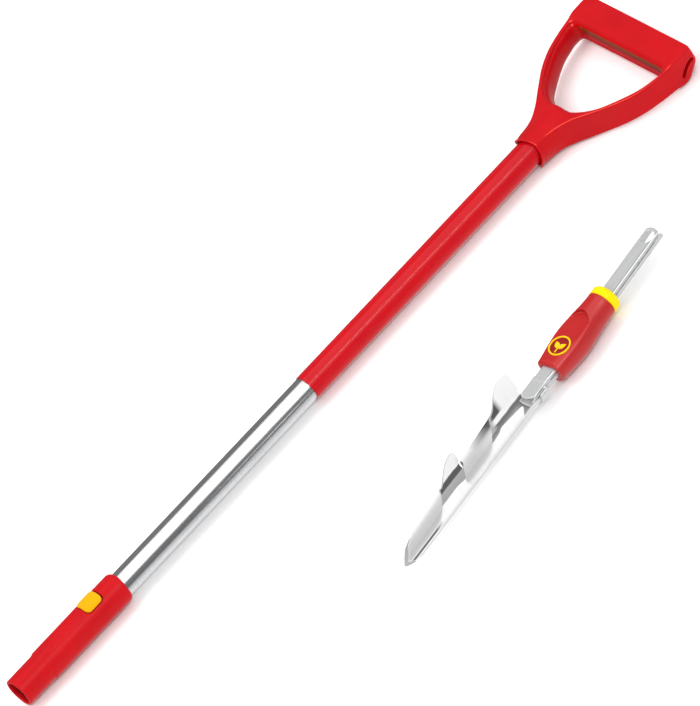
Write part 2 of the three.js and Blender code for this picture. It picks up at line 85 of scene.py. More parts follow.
def upright(x, to=row):
    """frame of a turned piece whose axis stands along Z at x"""
    return lambda p: to(p[:, [1, 2, 0]] + (x, 0, 0))


# ------------------------------------------------------------------ mesh helpers
def link(name, data):
    obj = bpy.data.objects.new(name, data)
    bpy.context.scene.collection.objects.link(obj)
    return obj


def weld(mesh, distance):
    """merge doubled points and turn the faces outwards"""
    bm = bmesh.new()
    bm.from_mesh(mesh)
    bmesh.ops.remove_doubles(bm, verts=bm.verts, dist=distance)
    bmesh.ops.recalc_face_normals(bm, faces=bm.faces)
    bm.to_mesh(mesh)
    bm.free()


def sharpen(obj, degrees):
    """mark edges sharper than the angle, and only those"""
    bm = bmesh.new()
    bm.from_mesh(obj.data)
    limit = math.radians(degrees)
    for e in bm.edges:
        e.smooth = not (len(e.link_faces) == 2 and e.calc_face_angle(0) > limit)
    bm.to_mesh(obj.data)
    bm.free()


def make(name, verts, faces, to=row, smooth=True, angle=None):
    mesh = bpy.data.meshes.new(name)
    placed = [tuple(v) for v in to(np.asarray(verts, float))]
    mesh.from_pydata(placed, [], [tuple(int(i) for i in f) for f in faces])
    mesh.validate()
    weld(mesh, 1e-7)
    mesh.polygons.foreach_set("use_smooth", [smooth] * len(mesh.polygons))
    obj = link(name, mesh)
    if angle:
        sharpen(obj, angle)
    return obj


def quad_mesh(name, verts, quads, to):
    """a large all-quad mesh, straight from arrays"""
    count = len(quads)
    mesh = bpy.data.meshes.new(name)
    mesh.vertices.add(len(verts))
    mesh.vertices.foreach_set("co", to(verts).astype(np.float32).ravel())
    mesh.loops.add(count * 4)
    mesh.loops.foreach_set("vertex_index", quads.astype(np.int32).ravel())
    mesh.polygons.add(count)
    mesh.polygons.foreach_set("loop_start", np.arange(0, count * 4, 4, dtype=np.int32))
    mesh.polygons.foreach_set("loop_total", np.full(count, 4, np.int32))
    mesh.update(calc_edges=True)
    mesh.validate()
    mesh.polygons.foreach_set("use_smooth", [True] * len(mesh.polygons))
    return link(name, mesh)


def applied(obj):
    """obj with its modifiers applied"""
    bpy.context.view_layer.update()
    depsgraph = bpy.context.evaluated_depsgraph_get()
    mesh = bpy.data.meshes.new_from_object(obj.evaluated_get(depsgraph))
    obj.modifiers.clear()
    obj.data = mesh
    return obj


def cut(obj, *cutters):
    for cutter in cutters:
        boolean = obj.modifiers.new("cut", "BOOLEAN")
        boolean.operation, boolean.solver, boolean.object = "DIFFERENCE", "EXACT", cutter
    applied(obj)
    for cutter in cutters:
        bpy.data.objects.remove(cutter)


def ease(obj, width, segments, degrees):
    """bevel the edges sharper than the angle; width in metres"""
    bevel = obj.modifiers.new("eased", "BEVEL")
    bevel.width, bevel.segments = width, segments
    bevel.limit_method, bevel.angle_limit = "ANGLE", math.radians(degrees)


def fillet(points, radii, closed=True, n=5):
    """2-D polyline with its corners rounded by one radius, or by a radius per point"""
    out, count = [], len(points)
    corners = [np.array(p, float) for p in points]
    for i, p in enumerate(corners):
        r = radii[i] if hasattr(radii, "__len__") else radii
        if not closed and i in (0, count - 1) or r <= 0:
            out.append(p)
            continue
        back, on = corners[(i - 1) % count] - p, corners[(i + 1) % count] - p
        back_len, on_len = np.linalg.norm(back), np.linalg.norm(on)
        back, on = back / back_len, on / on_len
        half = math.acos(max(-1, min(1, float(back @ on)))) / 2
        if half > math.radians(88.5):
            out.append(p)
            continue
        reach = min(r / math.tan(half), back_len * 0.48, on_len * 0.48)
        r = reach * math.tan(half)
        centre = p + (back + on) / np.linalg.norm(back + on) * (r / math.sin(half))
        first = math.atan2(*(p + back * reach - centre)[::-1])
        last = math.atan2(*(p + on * reach - centre)[::-1])
        sweep = (last - first + math.pi) % (2 * math.pi) - math.pi
        for k in range(n + 1):
            t = first + sweep * k / n
            out.append(centre + r * np.array([math.cos(t), math.sin(t)]))
    return out


def spline(points, per=6):
    """Catmull-Rom curve through the points"""
    P = np.array(points, float)
    P = np.vstack([2 * P[0] - P[1], P, 2 * P[-1] - P[-2]])
    out = []
    for a, b, c, d in zip(P, P[1:], P[2:], P[3:]):
        for k in range(per):
            t = k / per
            out.append(0.5 * (2 * b + (c - a) * t + (2 * a - 5 * b + 4 * c - d) * t * t
                              + (3 * b - a - 3 * c + d) * t ** 3))
    out.append(P[-2])
    return out


def wall(start, end, inner, outer):
    """[along, radius] profile of a plain ring"""
    return [(start, inner), (start, outer), (end, outer), (end, inner)]


def oblong(x, half_x, half_y):
    return [(x - half_x, -half_y), (x + half_x, -half_y), (x + half_x, half_y), (x - half_x, half_y)]


def lathe(name, profile, to=row, segments=128, angle=None):
    """[along, radius] profile turned about X; it closes on itself unless it starts on the axis"""
    verts, faces, rings = [], [], []
    for x, r in profile:
        if r < 1e-6:
            rings.append([len(verts)] * segments)
            verts.append((x, 0, 0))
        else:
            rings.append(list(range(len(verts), len(verts) + segments)))
            for k in range(segments):
                t = 2 * math.pi * k / segments
                verts.append((x, r * math.cos(t), r * math.sin(t)))
    spans = len(rings) if profile[0][1] > 1e-6 else len(rings) - 1
    for i in range(spans):
        this, after = rings[i], rings[(i + 1) % len(rings)]
        for k in range(segments):
            k2 = (k + 1) % segments
            face = list(dict.fromkeys([this[k], this[k2], after[k2], after[k]]))
            if len(face) > 2:
                faces.append(face)
    return make(name, verts, faces, to, angle=angle)


def prism(name, outline, low, high, to=row, smooth=True, angle=30):
    """an XY outline drawn out from low to high along Z"""
    n = len(outline)
    verts = [(x, y, z) for z in (low, high) for x, y in outline]
    faces = [range(n)[::-1], range(n, 2 * n)]
    faces += [[i, (i + 1) % n, n + (i + 1) % n, n + i] for i in range(n)]
    return make(name, verts, faces, to, smooth, angle)


# ------------------------------------------------------------------ distance fields
# Negative inside, in mm. Smooth operations take the width of their blend last.
def join(a, b, k):
    """smooth union"""
    h = np.clip(0.5 + 0.5 * (b - a) / k, 0, 1)
    return b * (1 - h) + a * h - k * h * (1 - h)


def trim(a, b, k):
    """smooth overlap"""
    return -join(-a, -b, k)


def carve(a, hole, k):
    """a with the hole smoothly taken out"""
    return trim(a, -hole, k)


def meet(first, *others):
    """sharp overlap"""
    for other in others:
        first = np.maximum(first, other)
    return first


def length(*parts):
    return np.sqrt(sum(v * v for v in parts))


def rect(x, y, half_x, half_y, r):
    """rectangle with rounded corners"""
    qx, qy = np.abs(x) - half_x + r, np.abs(y) - half_y + r
    return length(np.maximum(qx, 0), np.maximum(qy, 0)) + np.minimum(meet(qx, qy), 0) - r


def block(x, y, z, half_x, half_y, half_z, r):
    """box with rounded edges"""
    q = [np.abs(v) - half + r for v, half in ((x, half_x), (y, half_y), (z, half_z))]
    return length(*(np.maximum(v, 0) for v in q)) + np.minimum(meet(*q), 0) - r


def stations(x, table):
    """value at x, read from a table of (x, value)"""
    return np.interp(x, *zip(*table))


class Outline:
    """signed distance to a closed outline, sampled on a fine grid and interpolated"""

    def __init__(self, points, step=0.5, pad=14.0):
        P = np.array(points, float)
        self.low, high = P.min(0) - pad, P.max(0) + pad
        self.step = step
        self.count = np.ceil((high - self.low) / step).astype(int) + 1
        X, Y = np.meshgrid(*(self.low[k] + step * np.arange(self.count[k]) for k in (0, 1)),
                           indexing="ij")
        nearest = np.full(X.shape, 1e9)
        inside = np.zeros(X.shape, bool)
        for (ax, ay), (bx, by) in zip(P, np.roll(P, -1, 0)):
            ex, ey = bx - ax, by - ay
            squared = ex * ex + ey * ey
            if squared < 1e-12:
                continue
            t = np.clip(((X - ax) * ex + (Y - ay) * ey) / squared, 0, 1)
            nearest = np.minimum(nearest, (X - ax - t * ex) ** 2 + (Y - ay - t * ey) ** 2)
            crosses = (ay > Y) != (by > Y)
            with np.errstate(divide="ignore", invalid="ignore"):
                inside ^= crosses & (X < (bx - ax) * (Y - ay) / (by - ay) + ax)
        self.grid = np.where(inside, -1, 1) * np.sqrt(nearest)

    def __call__(self, x, y):
        u = np.clip((x - self.low[0]) / self.step, 0, self.count[0] - 1.001)
        v = np.clip((y - self.low[1]) / self.step, 0, self.count[1] - 1.001)
        i, j = u.astype(int), v.astype(int)
        a, b = u - i, v - j
        D = self.grid
        return ((D[i, j] * (1 - a) + D[i + 1, j] * a) * (1 - b)
                + (D[i, j + 1] * (1 - a) + D[i + 1, j + 1] * a) * b)


def sample(field, low, step, count):
    """the field on a grid, worked out in slabs along X"""
    axes = [low[k] + step * np.arange(count[k]) for k in range(3)]
    F = np.empty(count, np.float32)
    slab = max(1, int(400000 / (count[1] * count[2])))
    for i in range(0, count[0], slab):
        F[i:i + slab] = field(*np.meshgrid(axes[0][i:i + slab], *axes[1:], indexing="ij"))
    F[np.abs(F) < 1e-6] = 1e-6
    return F


def settle(field, start, step):
    """points moved down the field's slope onto its surface"""
    reach = 0.02
    points = start.copy()
    for _ in range(3):
        value = field(*points.T)
        slope = np.stack([field(*(points + shift).T) - field(*(points - shift).T)
                          for shift in reach * np.eye(3)], 1) / (2 * reach)
        move = (value / np.maximum((slope * slope).sum(1), 0.05))[:, None] * slope
        points = points - np.clip(move, -step * 0.4, step * 0.4)
    return start + np.clip(points - start, -step * 0.75, step * 0.75)


def skin(name, field, low, high, step, to=row):
    """closed quad mesh of field = 0 by naive surface nets, its points then settled"""
    low, high = np.array(low, float), np.array(high, float)
    count = np.ceil((high - low) / step).astype(int) + 1
    F = sample(field, low, step, count)
    inside = F < 0
    cells = count - 1
    total = int(cells.prod())
    sums, hits = np.zeros((3, total)), np.zeros(total)
    quads = []
    for a in range(3):
        b, c = (a + 1) % 3, (a + 2) % 3
        near, far = [slice(None)] * 3, [slice(None)] * 3
        near[a], far[a] = slice(0, -1), slice(1, None)
        index = np.argwhere(inside[tuple(near)] != inside[tuple(far)])
        keep = ((index[:, b] > 0) & (index[:, c] > 0)
                & (index[:, b] < cells[b]) & (index[:, c] < cells[c]))
        index = index[keep]
        f0 = F[tuple(index.T)].astype(float)
        beyond = index.copy()
        beyond[:, a] += 1
        f1 = F[tuple(beyond.T)].astype(float)
        crossing = index.astype(float)
        crossing[:, a] += f0 / (f0 - f1)
        corners = []
        for db, dc in ((1, 1), (0, 1), (0, 0), (1, 0)):
            cell = index.copy()
            cell[:, b] -= db
            cell[:, c] -= dc
            flat = (cell[:, 0] * cells[1] + cell[:, 1]) * cells[2] + cell[:, 2]
            corners.append(flat)
            hits += np.bincount(flat, minlength=total)
            for k in range(3):
                sums[k] += np.bincount(flat, weights=crossing[:, k], minlength=total)
        quad = np.stack(corners, 1)
        quad[f0 > 0] = quad[f0 > 0][:, ::-1]
        quads.append(quad)
    used = np.flatnonzero(hits)
    number = np.full(total, -1, np.int64)
    number[used] = np.arange(len(used))
    start = low + step * (sums[:, used] / hits[used]).T
    return quad_mesh(name, settle(field, start, step), number[np.concatenate(quads)], to)


# ------------------------------------------------------------------ shader nodes
def spread(stops, span):
    """ramp stops given over -span/2..span/2, moved to 0..1"""
    return [(place / span + 0.5, value) for place, value in stops]


class Nodes:
    """the cleared node tree of a material or world, with short calls for its nodes"""

    def __init__(self, owner):
        self.owner = owner
        owner.use_nodes = True
        self.tree = owner.node_tree
        self.tree.nodes.clear()

    def feed(self, socket, value):
        if isinstance(value, bpy.types.NodeSocket):
            self.tree.links.new(value, socket)
        else:
            colour = socket.type == "RGBA" and len(value) == 3
            socket.default_value = (*value, 1) if colour else value

    def node(self, kind, inputs=None, **settings):
        node = self.tree.nodes.new("ShaderNode" + kind)
        for key, value in settings.items():
            setattr(node, key, value)
        for key, value in (inputs or {}).items():
            self.feed(node.inputs[key], value)
        return node

    def calc(self, operation, a, b=0.0, c=0.0):
        return self.node("Math", {0: a, 1: b, 2: c}, operation=operation).outputs[0]

    def times(self, a, b):
        return self.calc("MULTIPLY", a, b)

    def linear(self, value, slope, offset):
        return self.calc("MULTIPLY_ADD", value, slope, offset)

    def below(self, value, limit):
        return self.calc("LESS_THAN", value, limit)

    def above(self, value, limit):
        return self.calc("GREATER_THAN", value, limit)

    def off(self, value, middle):
        """distance from the middle"""
        return self.calc("ABSOLUTE", self.calc("SUBTRACT", value, middle))

    def dot(self, vector, direction):
        return self.node("VectorMath", {0: vector, 1: direction},
                         operation="DOT_PRODUCT").outputs["Value"]

    def parts(self, vector):
        return self.node("SeparateXYZ", {0: vector}).outputs

    def rise(self, value, low, high):
        """0 at low to 1 at high"""
        return self.node("MapRange", {0: value, 1: low, 2: high}).outputs[0]

    def pointiness(self, low, high):
        return self.rise(self.node("NewGeometry").outputs["Pointiness"], low, high)

    def ramp(self, value, stops):
        node = self.node("ValToRGB", {0: value})
        elements = node.color_ramp.elements
        while len(elements) < len(stops):
            elements.new(0.5)
        for element, (position, grey) in zip(elements, stops):
            element.position = position
            element.color = (grey, grey, grey, 1)
        return node.outputs[0]

    def mix(self, amount, a, b, mode="MIX"):
        return self.node("Mix", {0: amount, 6: a, 7: b},
                         data_type="RGBA", blend_type=mode).outputs[2]

    def mix_shader(self, amount, a, b):
        return self.node("MixShader", {0: amount, 1: a.outputs[0], 2: b.outputs[0]}).outputs[0]


class Material(Nodes):
    """a material with a principled shader"""

    def __init__(self, name):
        super().__init__(bpy.data.materials.new(name))
        self.shader = self.node("BsdfPrincipled")
        self.output = self.node("OutputMaterial", {0: self.shader.outputs[0]})
        self.place = self.node("TexCoord").outputs["Object"]

    def set(self, name, value):
        self.feed(self.shader.inputs[name], value)

    def colour(self, colour):
        self.base = colour
        self.set("Base Color", colour)

    def tint(self, amount, colour):
        """mix a colour over the one so far"""
        self.colour(self.mix(amount, self.base, colour))

    def noise(self, scale, detail, stretch=None):
        """stretch: scale per axis and turn about Z"""
        vector = self.place
        if stretch:
            inputs = {0: vector, "Scale": stretch[0], "Rotation": (0, 0, stretch[1])}
            vector = self.node("Mapping", inputs).outputs[0]
        inputs = {"Vector": vector, "Scale": scale, "Detail": detail}
        return self.node("TexNoise", inputs).outputs["Fac"]

    def bump(self, *layers):
        """layers: (height, strength, distance in m); gives the bent normal"""
        normal = None
        for height, strength, distance in layers:
            inputs = {"Strength": strength, "Distance": distance, "Height": height}
            if normal:
                inputs["Normal"] = normal
            normal = self.node("Bump", inputs).outputs[0]
        self.set("Normal", normal)
        return normal

    def head_mm(self, axis):
        """distance in mm along an axis of the head frame"""
        a = HEAD_ROT @ np.array(axis, float)
        return self.linear(self.dot(self.place, tuple(a)), 1000.0,
                           float((ORIGIN - HEAD_POS) @ a))


# ------------------------------------------------------------------ materials
def plastic(name, colour, dark, rough, spec, grain=1400.0, depth=0.00004, strength=0.25,
            edge=None):
    """moulded plastic: fine mould grain, faint flow mottling, a painted highlight on sharp edges,
    smudged sheen
    """
    m = Material(name)
    mottle = m.ramp(m.noise(scale=26, detail=4), [(0.35, 0.0), (0.7, 1.0)])
    m.colour(m.mix(mottle, colour, dark))
    # painted highlight: the edge colour is laid over sharp edges, found by pointiness
    if edge:
        m.tint(m.times(m.pointiness(0.53, 0.62), 0.55), edge)
    fine = m.noise(scale=grain, detail=3)
    smudge = m.noise(scale=60, detail=5)
    uneven = m.calc("ADD", m.times(fine, 0.35), smudge)
    m.set("Roughness", m.linear(uneven, slope=0.16, offset=rough - 0.11))
    m.set("Specular IOR Level", spec)
    m.bump((fine, strength, depth), (smudge, 0.12, 0.0002))
    return m


def grip_painted_light(m):
    """painted light on the hand bar: painted shade, darker and browner, in a strip along its inner
    side, painted shade in the end hollows and a painted highlight; lengths here are in metres
    """
    geometry = m.node("NewGeometry")
    normal_x = m.parts(geometry.outputs["True Normal"])[0]
    x, y, z = m.parts(m.place)
    bar = m.above(x, 0.3842)
    height = m.calc("SUBTRACT", z, -ORIGIN[2] / 1000)
    side = m.off(y, -ORIGIN[1] / 1000)
    facing = m.times(m.below(normal_x, -0.35), bar)
    strip = m.times(facing, m.below(side, 0.0585))
    # both ramps run over heights of -12.5 to 12.5 mm
    amount = m.ramp(m.linear(height, 40.0, 0.5), [(0.38, 0.0), (0.46, 0.8), (0.84, 1.0), (0.9, 0.0)])
    hue = m.ramp(m.linear(height, 40.0, 0.5), [(0.40, 0.0), (0.66, 0.35), (0.80, 1.0)])
    strip = m.times(strip, amount)
    shade_brown = m.mix(hue, (0.15, 0.003, 0.003), (0.21, 0.060, 0.003))
    # painted shade in the hollows at the bar's ends
    deep = m.times(m.below(side, 0.0712), m.above(side, 0.0655))
    hollow_shade = m.times(m.times(deep, m.above(x, 0.3945)), m.below(m.pointiness(0.40, 0.52), 0.5))
    # a painted highlight: a bright sheen on what faces this way
    sheen_side = m.dot(geometry.outputs["Normal"], (-0.381, -0.592, 0.710))
    sheen = m.ramp(m.linear(sheen_side, 10.0, -9.0), [(0.55, 0.0), (0.85, 0.55), (1.0, 0.75)])
    m.tint(m.times(hollow_shade, 0.7), (0.13, 0.004, 0.003))
    m.tint(m.times(strip, 0.95), shade_brown)
    m.tint(sheen, (0.95, 0.10, 0.06))
    dull = m.ramp(m.times(normal_x, -1.0), [(0.70, 0.0), (0.97, 1.0)])
    m.set("Specular IOR Level", m.linear(m.times(dull, bar), slope=-0.12, offset=0.14))
    return m


def metal(name, colour, dark, rough, grain, strength, stretch=None, speck=None, metallic=1.0):
    """drawn or polished metal: streaks, fine scratches, cloudy roughness

    speck: noise scale, threshold and amount of the speckle"""
    m = Material(name)
    m.set("Metallic", metallic)
    streak = m.noise(grain, 3, stretch)
    cloud = m.noise(scale=22, detail=4)
    wear = m.calc("ADD", m.times(streak, 0.6), m.times(cloud, 0.4))
    m.colour(m.mix(m.ramp(wear, [(0.38, 0.0), (0.66, 1.0)]), colour, dark))
    if speck:
        scale, threshold, amount = speck
        spots = m.ramp(m.noise(scale, 2), [(threshold, 0.0), (threshold + 0.07, 1.0)])
        m.tint(m.times(spots, amount), (0.25, 0.25, 0.26))
    m.set("Roughness", m.linear(wear, slope=0.16, offset=rough - 0.07))
    m.bump((streak, strength, 0.00003))
    return m


def zoned_ramp(m, value, span, along, first, later):
    """ramp of value that changes, from start to stop mm along the head, to each later ramp"""
    grey = m.ramp(value, spread(first, span))
    for start, stop, stops in later:
        grey = m.mix(m.rise(along, start, stop), grey, m.ramp(value, spread(stops, span)))
    return grey


def studio_reflection(m, normal, first, *later):
    """soft reflection by the reflected ray's turn about X; stops are (degrees, grey)"""
    incoming = m.node("NewGeometry").outputs["Incoming"]
    back = m.node("VectorMath", {0: incoming, "Scale": -1.0}, operation="SCALE").outputs[0]
    ray = m.node("VectorMath", {0: back, 1: normal}, operation="REFLECT").outputs[0]
    x, y, z = m.parts(ray)
    turn = m.linear(m.calc("ARCTAN2", y, z), 1 / (2 * math.pi), 0.5)
    along = m.head_mm((1, 0, 0)) if later else None
    return zoned_ramp(m, turn, 360, along, first, later)


def wall_reflection(m, normal, first, *later):
    """streaks along the trough, as if from its opposite wall; stops are (mm across, grey)"""
    drift = m.linear(m.noise(scale=60, detail=2), slope=1.6, offset=-0.8)
    across = m.calc("ADD", m.head_mm((0, -BLADE_COS, -BLADE_SIN)), drift)
    along = m.calc("ADD", m.head_mm((1, 0, 0)), drift)
    return zoned_ramp(m, m.linear(across, 1 / 60.0, 0.5), 60, along, first, later)


def studio_metal(name, reflection, *zones, blend=0.97, rough=0.14):
    """bright polished steel: most of its look is a drawn reflection, bent by fine ripples"""
    m = Material(name)
    m.set("Metallic", 1.0)
    m.set("Base Color", (0.93, 0.932, 0.935))
    fine = m.noise(420, 3, stretch=((1, 0.15, 0.15), -TURN))
    cloud = m.noise(scale=30, detail=3)
    m.set("Roughness", m.linear(cloud, slope=0.14, offset=rough + 0.15))
    normal = m.bump((fine, 0.05, 0.00003), (m.noise(scale=45, detail=1), 0.05, 0.0005))
    grey = reflection(m, normal, *zones)
    occlusion = m.node("AmbientOcclusion", {"Distance": 0.006}, samples=6).outputs["AO"]
    grey = m.mix(1.0, grey, m.linear(occlusion, slope=0.60, offset=0.48), "MULTIPLY")
    grey = m.mix(1.0, grey, m.ramp(fine, [(0.3, 0.94), (0.7, 1.0)]), "MULTIPLY")
    glow = m.node("Emission", {0: m.mix(1.0, grey, (1.0, 1.0, 1.0), "MULTIPLY")})
    m.feed(m.output.inputs[0], m.mix_shader(blend, m.shader, glow))
    m.owner.cycles.emission_sampling = "NONE"
    return m


SHANK_BEND_START = 322.0  # mm along the head where the shank starts to lean
SHANK_LEAN = 0.032  # sideways per mm


def crease_painted_shade(m):
    """painted shade: fine dark lines on the shank where its flat face meets the rolled edge"""
    across, up, far = m.head_mm((0, 1, 0)), m.head_mm((0, 0, 1)), m.head_mm((1, 0, 0))
    past_bend = m.calc("MAXIMUM", m.calc("SUBTRACT", far, SHANK_BEND_START), 0.0)
    across = m.linear(past_bend, -SHANK_LEAN, across)
    top_line = m.below(m.calc("ABSOLUTE", m.calc("ADD", across, 6.35)), 0.33)
    side_line = m.below(m.off(up, 0.55), 0.38)
    lines = m.calc("MAXIMUM", m.times(top_line, m.above(up, 3.4)),
                   m.times(side_line, m.below(across, -7.0)))
    lines = m.times(lines, m.above(far, 219.0))
    m.tint(m.times(lines, 0.75), (0.06, 0.06, 0.062))
    return m


def shaded(m, end):
    """painted shade: dark up to end (mm along the shaft), where the tube sits inside the socket"""
    m.tint(m.below(m.parts(m.place)[0], float(row((end, 0, 0))[0])), (0.03, 0.012, 0.012))
    return m


# the edge colour here and in the plastics below is a painted highlight on sharp edges
RED = dict(colour=(0.50, 0.0025, 0.006), dark=(0.445, 0.002, 0.006), rough=0.36, spec=0.14,
           edge=(0.68, 0.012, 0.016))
# streaks drawn out along the shaft and along the head
ALONG = ((0.03, 1, 1), 0.0)
HEAD_ALONG = ((0.03, 1, 1), -TURN)
MAT = {
    "red": plastic("red_moulding", **RED),
    "tube_red": plastic("red_shaft_sleeve", (0.50, 0.003, 0.008), (0.46, 0.0025, 0.008),
                        rough=0.20, spec=0.26, grain=700, strength=0.08),
    "head_red": plastic("red_head_moulding", (0.45, 0.006, 0.006), (0.40, 0.005, 0.006),
                        rough=0.34, spec=0.60, edge=(0.6, 0.03, 0.03)),
    "yellow": plastic("yellow_button", (0.82, 0.37, 0.0), (0.78, 0.33, 0.0),
                      rough=0.45, spec=0.1, grain=900, depth=0.0001, strength=0.5),
    "ring_yellow": plastic("yellow_ring", (0.88, 0.66, 0.0), (0.86, 0.62, 0.0),
                           rough=0.34, spec=0.12, edge=(0.95, 0.75, 0.02)),
    "badge_yellow": plastic("yellow_badge", (0.88, 0.56, 0.0), (0.85, 0.50, 0.0),
                            rough=0.36, spec=0.2),
    "badge_red": plastic("dark_red_badge", (0.30, 0.006, 0.008), (0.24, 0.004, 0.006),
                         rough=0.42, spec=0.3),
    "black": plastic("black_moulding", (0.02, 0.02, 0.022), (0.03, 0.03, 0.032),
                     rough=0.5, spec=0.4),
    "plug": plastic("maroon_plug", (0.22, 0.003, 0.006), (0.17, 0.003, 0.005),
                    rough=0.5, spec=0.15),
    "alu": shaded(metal("bare_aluminium", (0.93, 0.935, 0.95), (0.80, 0.805, 0.82), rough=0.20,
                        grain=800, strength=0.12, stretch=ALONG, speck=(900, 0.57, 0.35)),
                  end=136),
    "satin": crease_painted_shade(metal("satin_steel", (0.72, 0.725, 0.73), (0.62, 0.625, 0.63), rough=0.36,
                           grain=700, strength=0.25, stretch=HEAD_ALONG,
                           speck=(1500, 0.58, 0.2), metallic=0.55)),
    "blade": studio_metal(
        "polished_steel", studio_reflection,
        [(-180, 0.62), (-150, 0.9), (-110, 0.85), (-85, 0.58), (-50, 0.50), (-10, 0.56),
         (40, 0.66), (80, 0.86), (108, 0.97), (135, 1.0), (160, 0.75), (180, 0.62)],
        (118, 146, [(-180, 0.62), (-110, 0.9), (-60, 0.62), (-15, 0.74), (15, 0.50), (42, 0.13),
                    (100, 0.085), (120, 0.10), (128, 0.9), (180, 0.7)])),
    "blade_lip": studio_metal(
        "polished_steel_lip", studio_reflection,
        [(-180, 0.60), (-150, 0.74), (-122, 0.90), (-100, 0.97), (-20, 0.96), (30, 0.8),
         (100, 0.5), (140, 0.45), (165, 0.52), (180, 0.60)],
        (50, 40, [(-180, 0.7), (-152, 0.95), (-136, 0.9), (-127, 0.35), (-114, 0.13),
                  (-90, 0.12), (180, 0.5)])),
    "blade_in": studio_metal(
        "polished_steel_inside", wall_reflection,
        [(-16, 0.60), (-9, 0.46), (14, 0.42)],
        (38, 52, [(-16, 0.9), (-15.2, 0.95), (-14.4, 0.08), (-10.2, 0.08), (-9.4, 0.42),
                  (-4, 0.38), (14, 0.5)]),
        (106, 140, [(-16, 0.5), (-9, 0.46), (-6.5, 0.42), (-5.2, 0.16), (14, 0.3)]),
        (156, 161, [(-14.2, 0.08), (-13.2, 0.92), (-9.6, 1.0), (-8.6, 0.15), (-4, 0.19),
                    (14, 0.35)]),
        (170, 176, [(-20, 0.93), (-14.2, 0.90), (-9.2, 0.95), (-8.3, 0.15), (-4, 0.19),
                    (14, 0.35)]), blend=0.92),
    "blade_edge": studio_metal(
        "ground_steel_edge", studio_reflection,
        [(-180, 0.20), (-120, 0.13), (-70, 0.18), (-40, 0.4), (0, 0.5), (60, 0.55),
         (130, 0.5), (165, 0.3), (180, 0.20)], rough=0.3),
    "zinc": metal("zinc_steel", (0.62, 0.62, 0.60), (0.50, 0.50, 0.49), rough=0.34, grain=300,
                  strength=0.2),
    "steel": metal("plain_steel", (0.70, 0.70, 0.71), (0.58, 0.58, 0.59), rough=0.26,
                   grain=500, strength=0.15),
    # the grip's moulding carries painted shade and a painted highlight
    "grip_red": grip_painted_light(plastic("red_grip_moulding", **RED)),
}


def register(obj, body, slot, *nodes):
    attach(obj, body)
    if nodes:
        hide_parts(*nodes)


def paint(obj, key):
    obj.data.materials.clear()
    obj.data.materials.append(MAT[key].owner)


def add(obj, key, body, slot, *nodes):
    paint(obj, key)
    register(obj, body, slot, *nodes)


def dress(node, key, width=0.0002, segments=2):
    """a CAD node whose shape is right: its own material, and its hard edges eased"""
    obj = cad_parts[node]
    paint(obj, key)
    ease(obj, width, segments, 35)


# ------------------------------------------------------------------ shaft
TUBE = dict(start=92.3, end=723.5, inner=11.0, outer=12.4)
SLEEVE = dict(start=386.5, end=703, inner=12.7, outer=13.2)

tube = lathe("shaft_tube_skin", fillet(wall(**TUBE), 0.3), segments=160, angle=30)
slot_outline = fillet(oblong(x=102, half_x=16, half_y=5.6), [0, 3, 3, 0])
cut(tube, prism("slot_cutter", slot_outline, 5, 20))
sharpen(tube, 28)
add(tube, "alu", "handle", "bare_aluminium", "shaft_tube")

sleeve = lathe("shaft_sleeve_skin", fillet(wall(**SLEEVE), [0.15, 0.35, 0.2, 0.1], n=4),
               segments=160, angle=50)
add(sleeve, "tube_red", "handle", "red_sleeve", "shaft_sleeve")
dress("tube_top_plug", "black", 0.0003)

# ------------------------------------------------------------------ socket
SOCKET_R = 15.9
# (x, radius)
SOCKET_STATIONS = [(-5, 14.85), (0, 14.85), (31.5, 14.9), (33.0, 15.0), (35.0, 15.75),
                   (36.5, SOCKET_R), (200, SOCKET_R)]
RIDGE_PITCH = 3.6
SCREW_HOLE_R = 2.6
SOCKET_SCREW_X = 128
YOKE_SCREW_X = 712
BUTTON_X = 103.1


def socket_field(x, y, z):
    radius = length(y, z)
    angle = np.arctan2(y, z)
    outer = stations(x, SOCKET_STATIONS)
    rim = 138.0 - 0.9 * (0.5 - 0.5 * np.cos(2 * angle + 0.7)) - 0.35 * (1 - np.cos(3 * angle))
    body = trim(radius - outer, x - rim, 5.0)
    body = trim(body, -x, 1.3)
    # lengthwise ridges on the +Z side, between the shoulder and the button
    arc = SOCKET_R * angle
    for k in range(-2, 3):
        past_end = np.maximum(np.abs(x - 68) - 21, 0) * 0.6
        ridge = length(arc - k * RIDGE_PITCH, past_end, (radius - outer + 0.25) * 1.2) - 0.75
        body = join(body, ridge, 0.7)
    # bore, mouth and the seat ring inside the mouth
    body = trim(body, 12.8 - radius, 0.4)
    seat_r = 12.25
    mouth = trim(radius - (seat_r + np.clip(1.0 - x, 0, 1.0) * 0.9), -(x + 2), 0.2)
    seat = meet(radius - 14.0, seat_r - radius, x - 5.0, 0.6 - x)
    body = np.minimum(body, carve(seat, mouth, 0.3))
    # close window for the button, groove over the lever, screw hole
    body = carve(body, meet(rect(x - 103.5, y, 10.9, 9.75, 4.6), 3 - z), 0.5)
    body = carve(body, meet(rect(x - 87.5, y, 30.5, 5.0, 1.0), 8 - z, radius - 13.9), 0.3)
    return carve(body, meet(length(x - SOCKET_SCREW_X, y) - SCREW_HOLE_R, z + 9), 0.4)


shell = skin("socket_shell_skin", socket_field, (-2, -18.5, -18.5), (140, 18.5, 18.5), 0.55)
add(shell, "red", "handle", "red_moulding", "socket_shell")
dress("socket_liner", "black", 0.0004)
dress("lever_pivot_pin", "steel")
dress("catch_lever", "zinc")


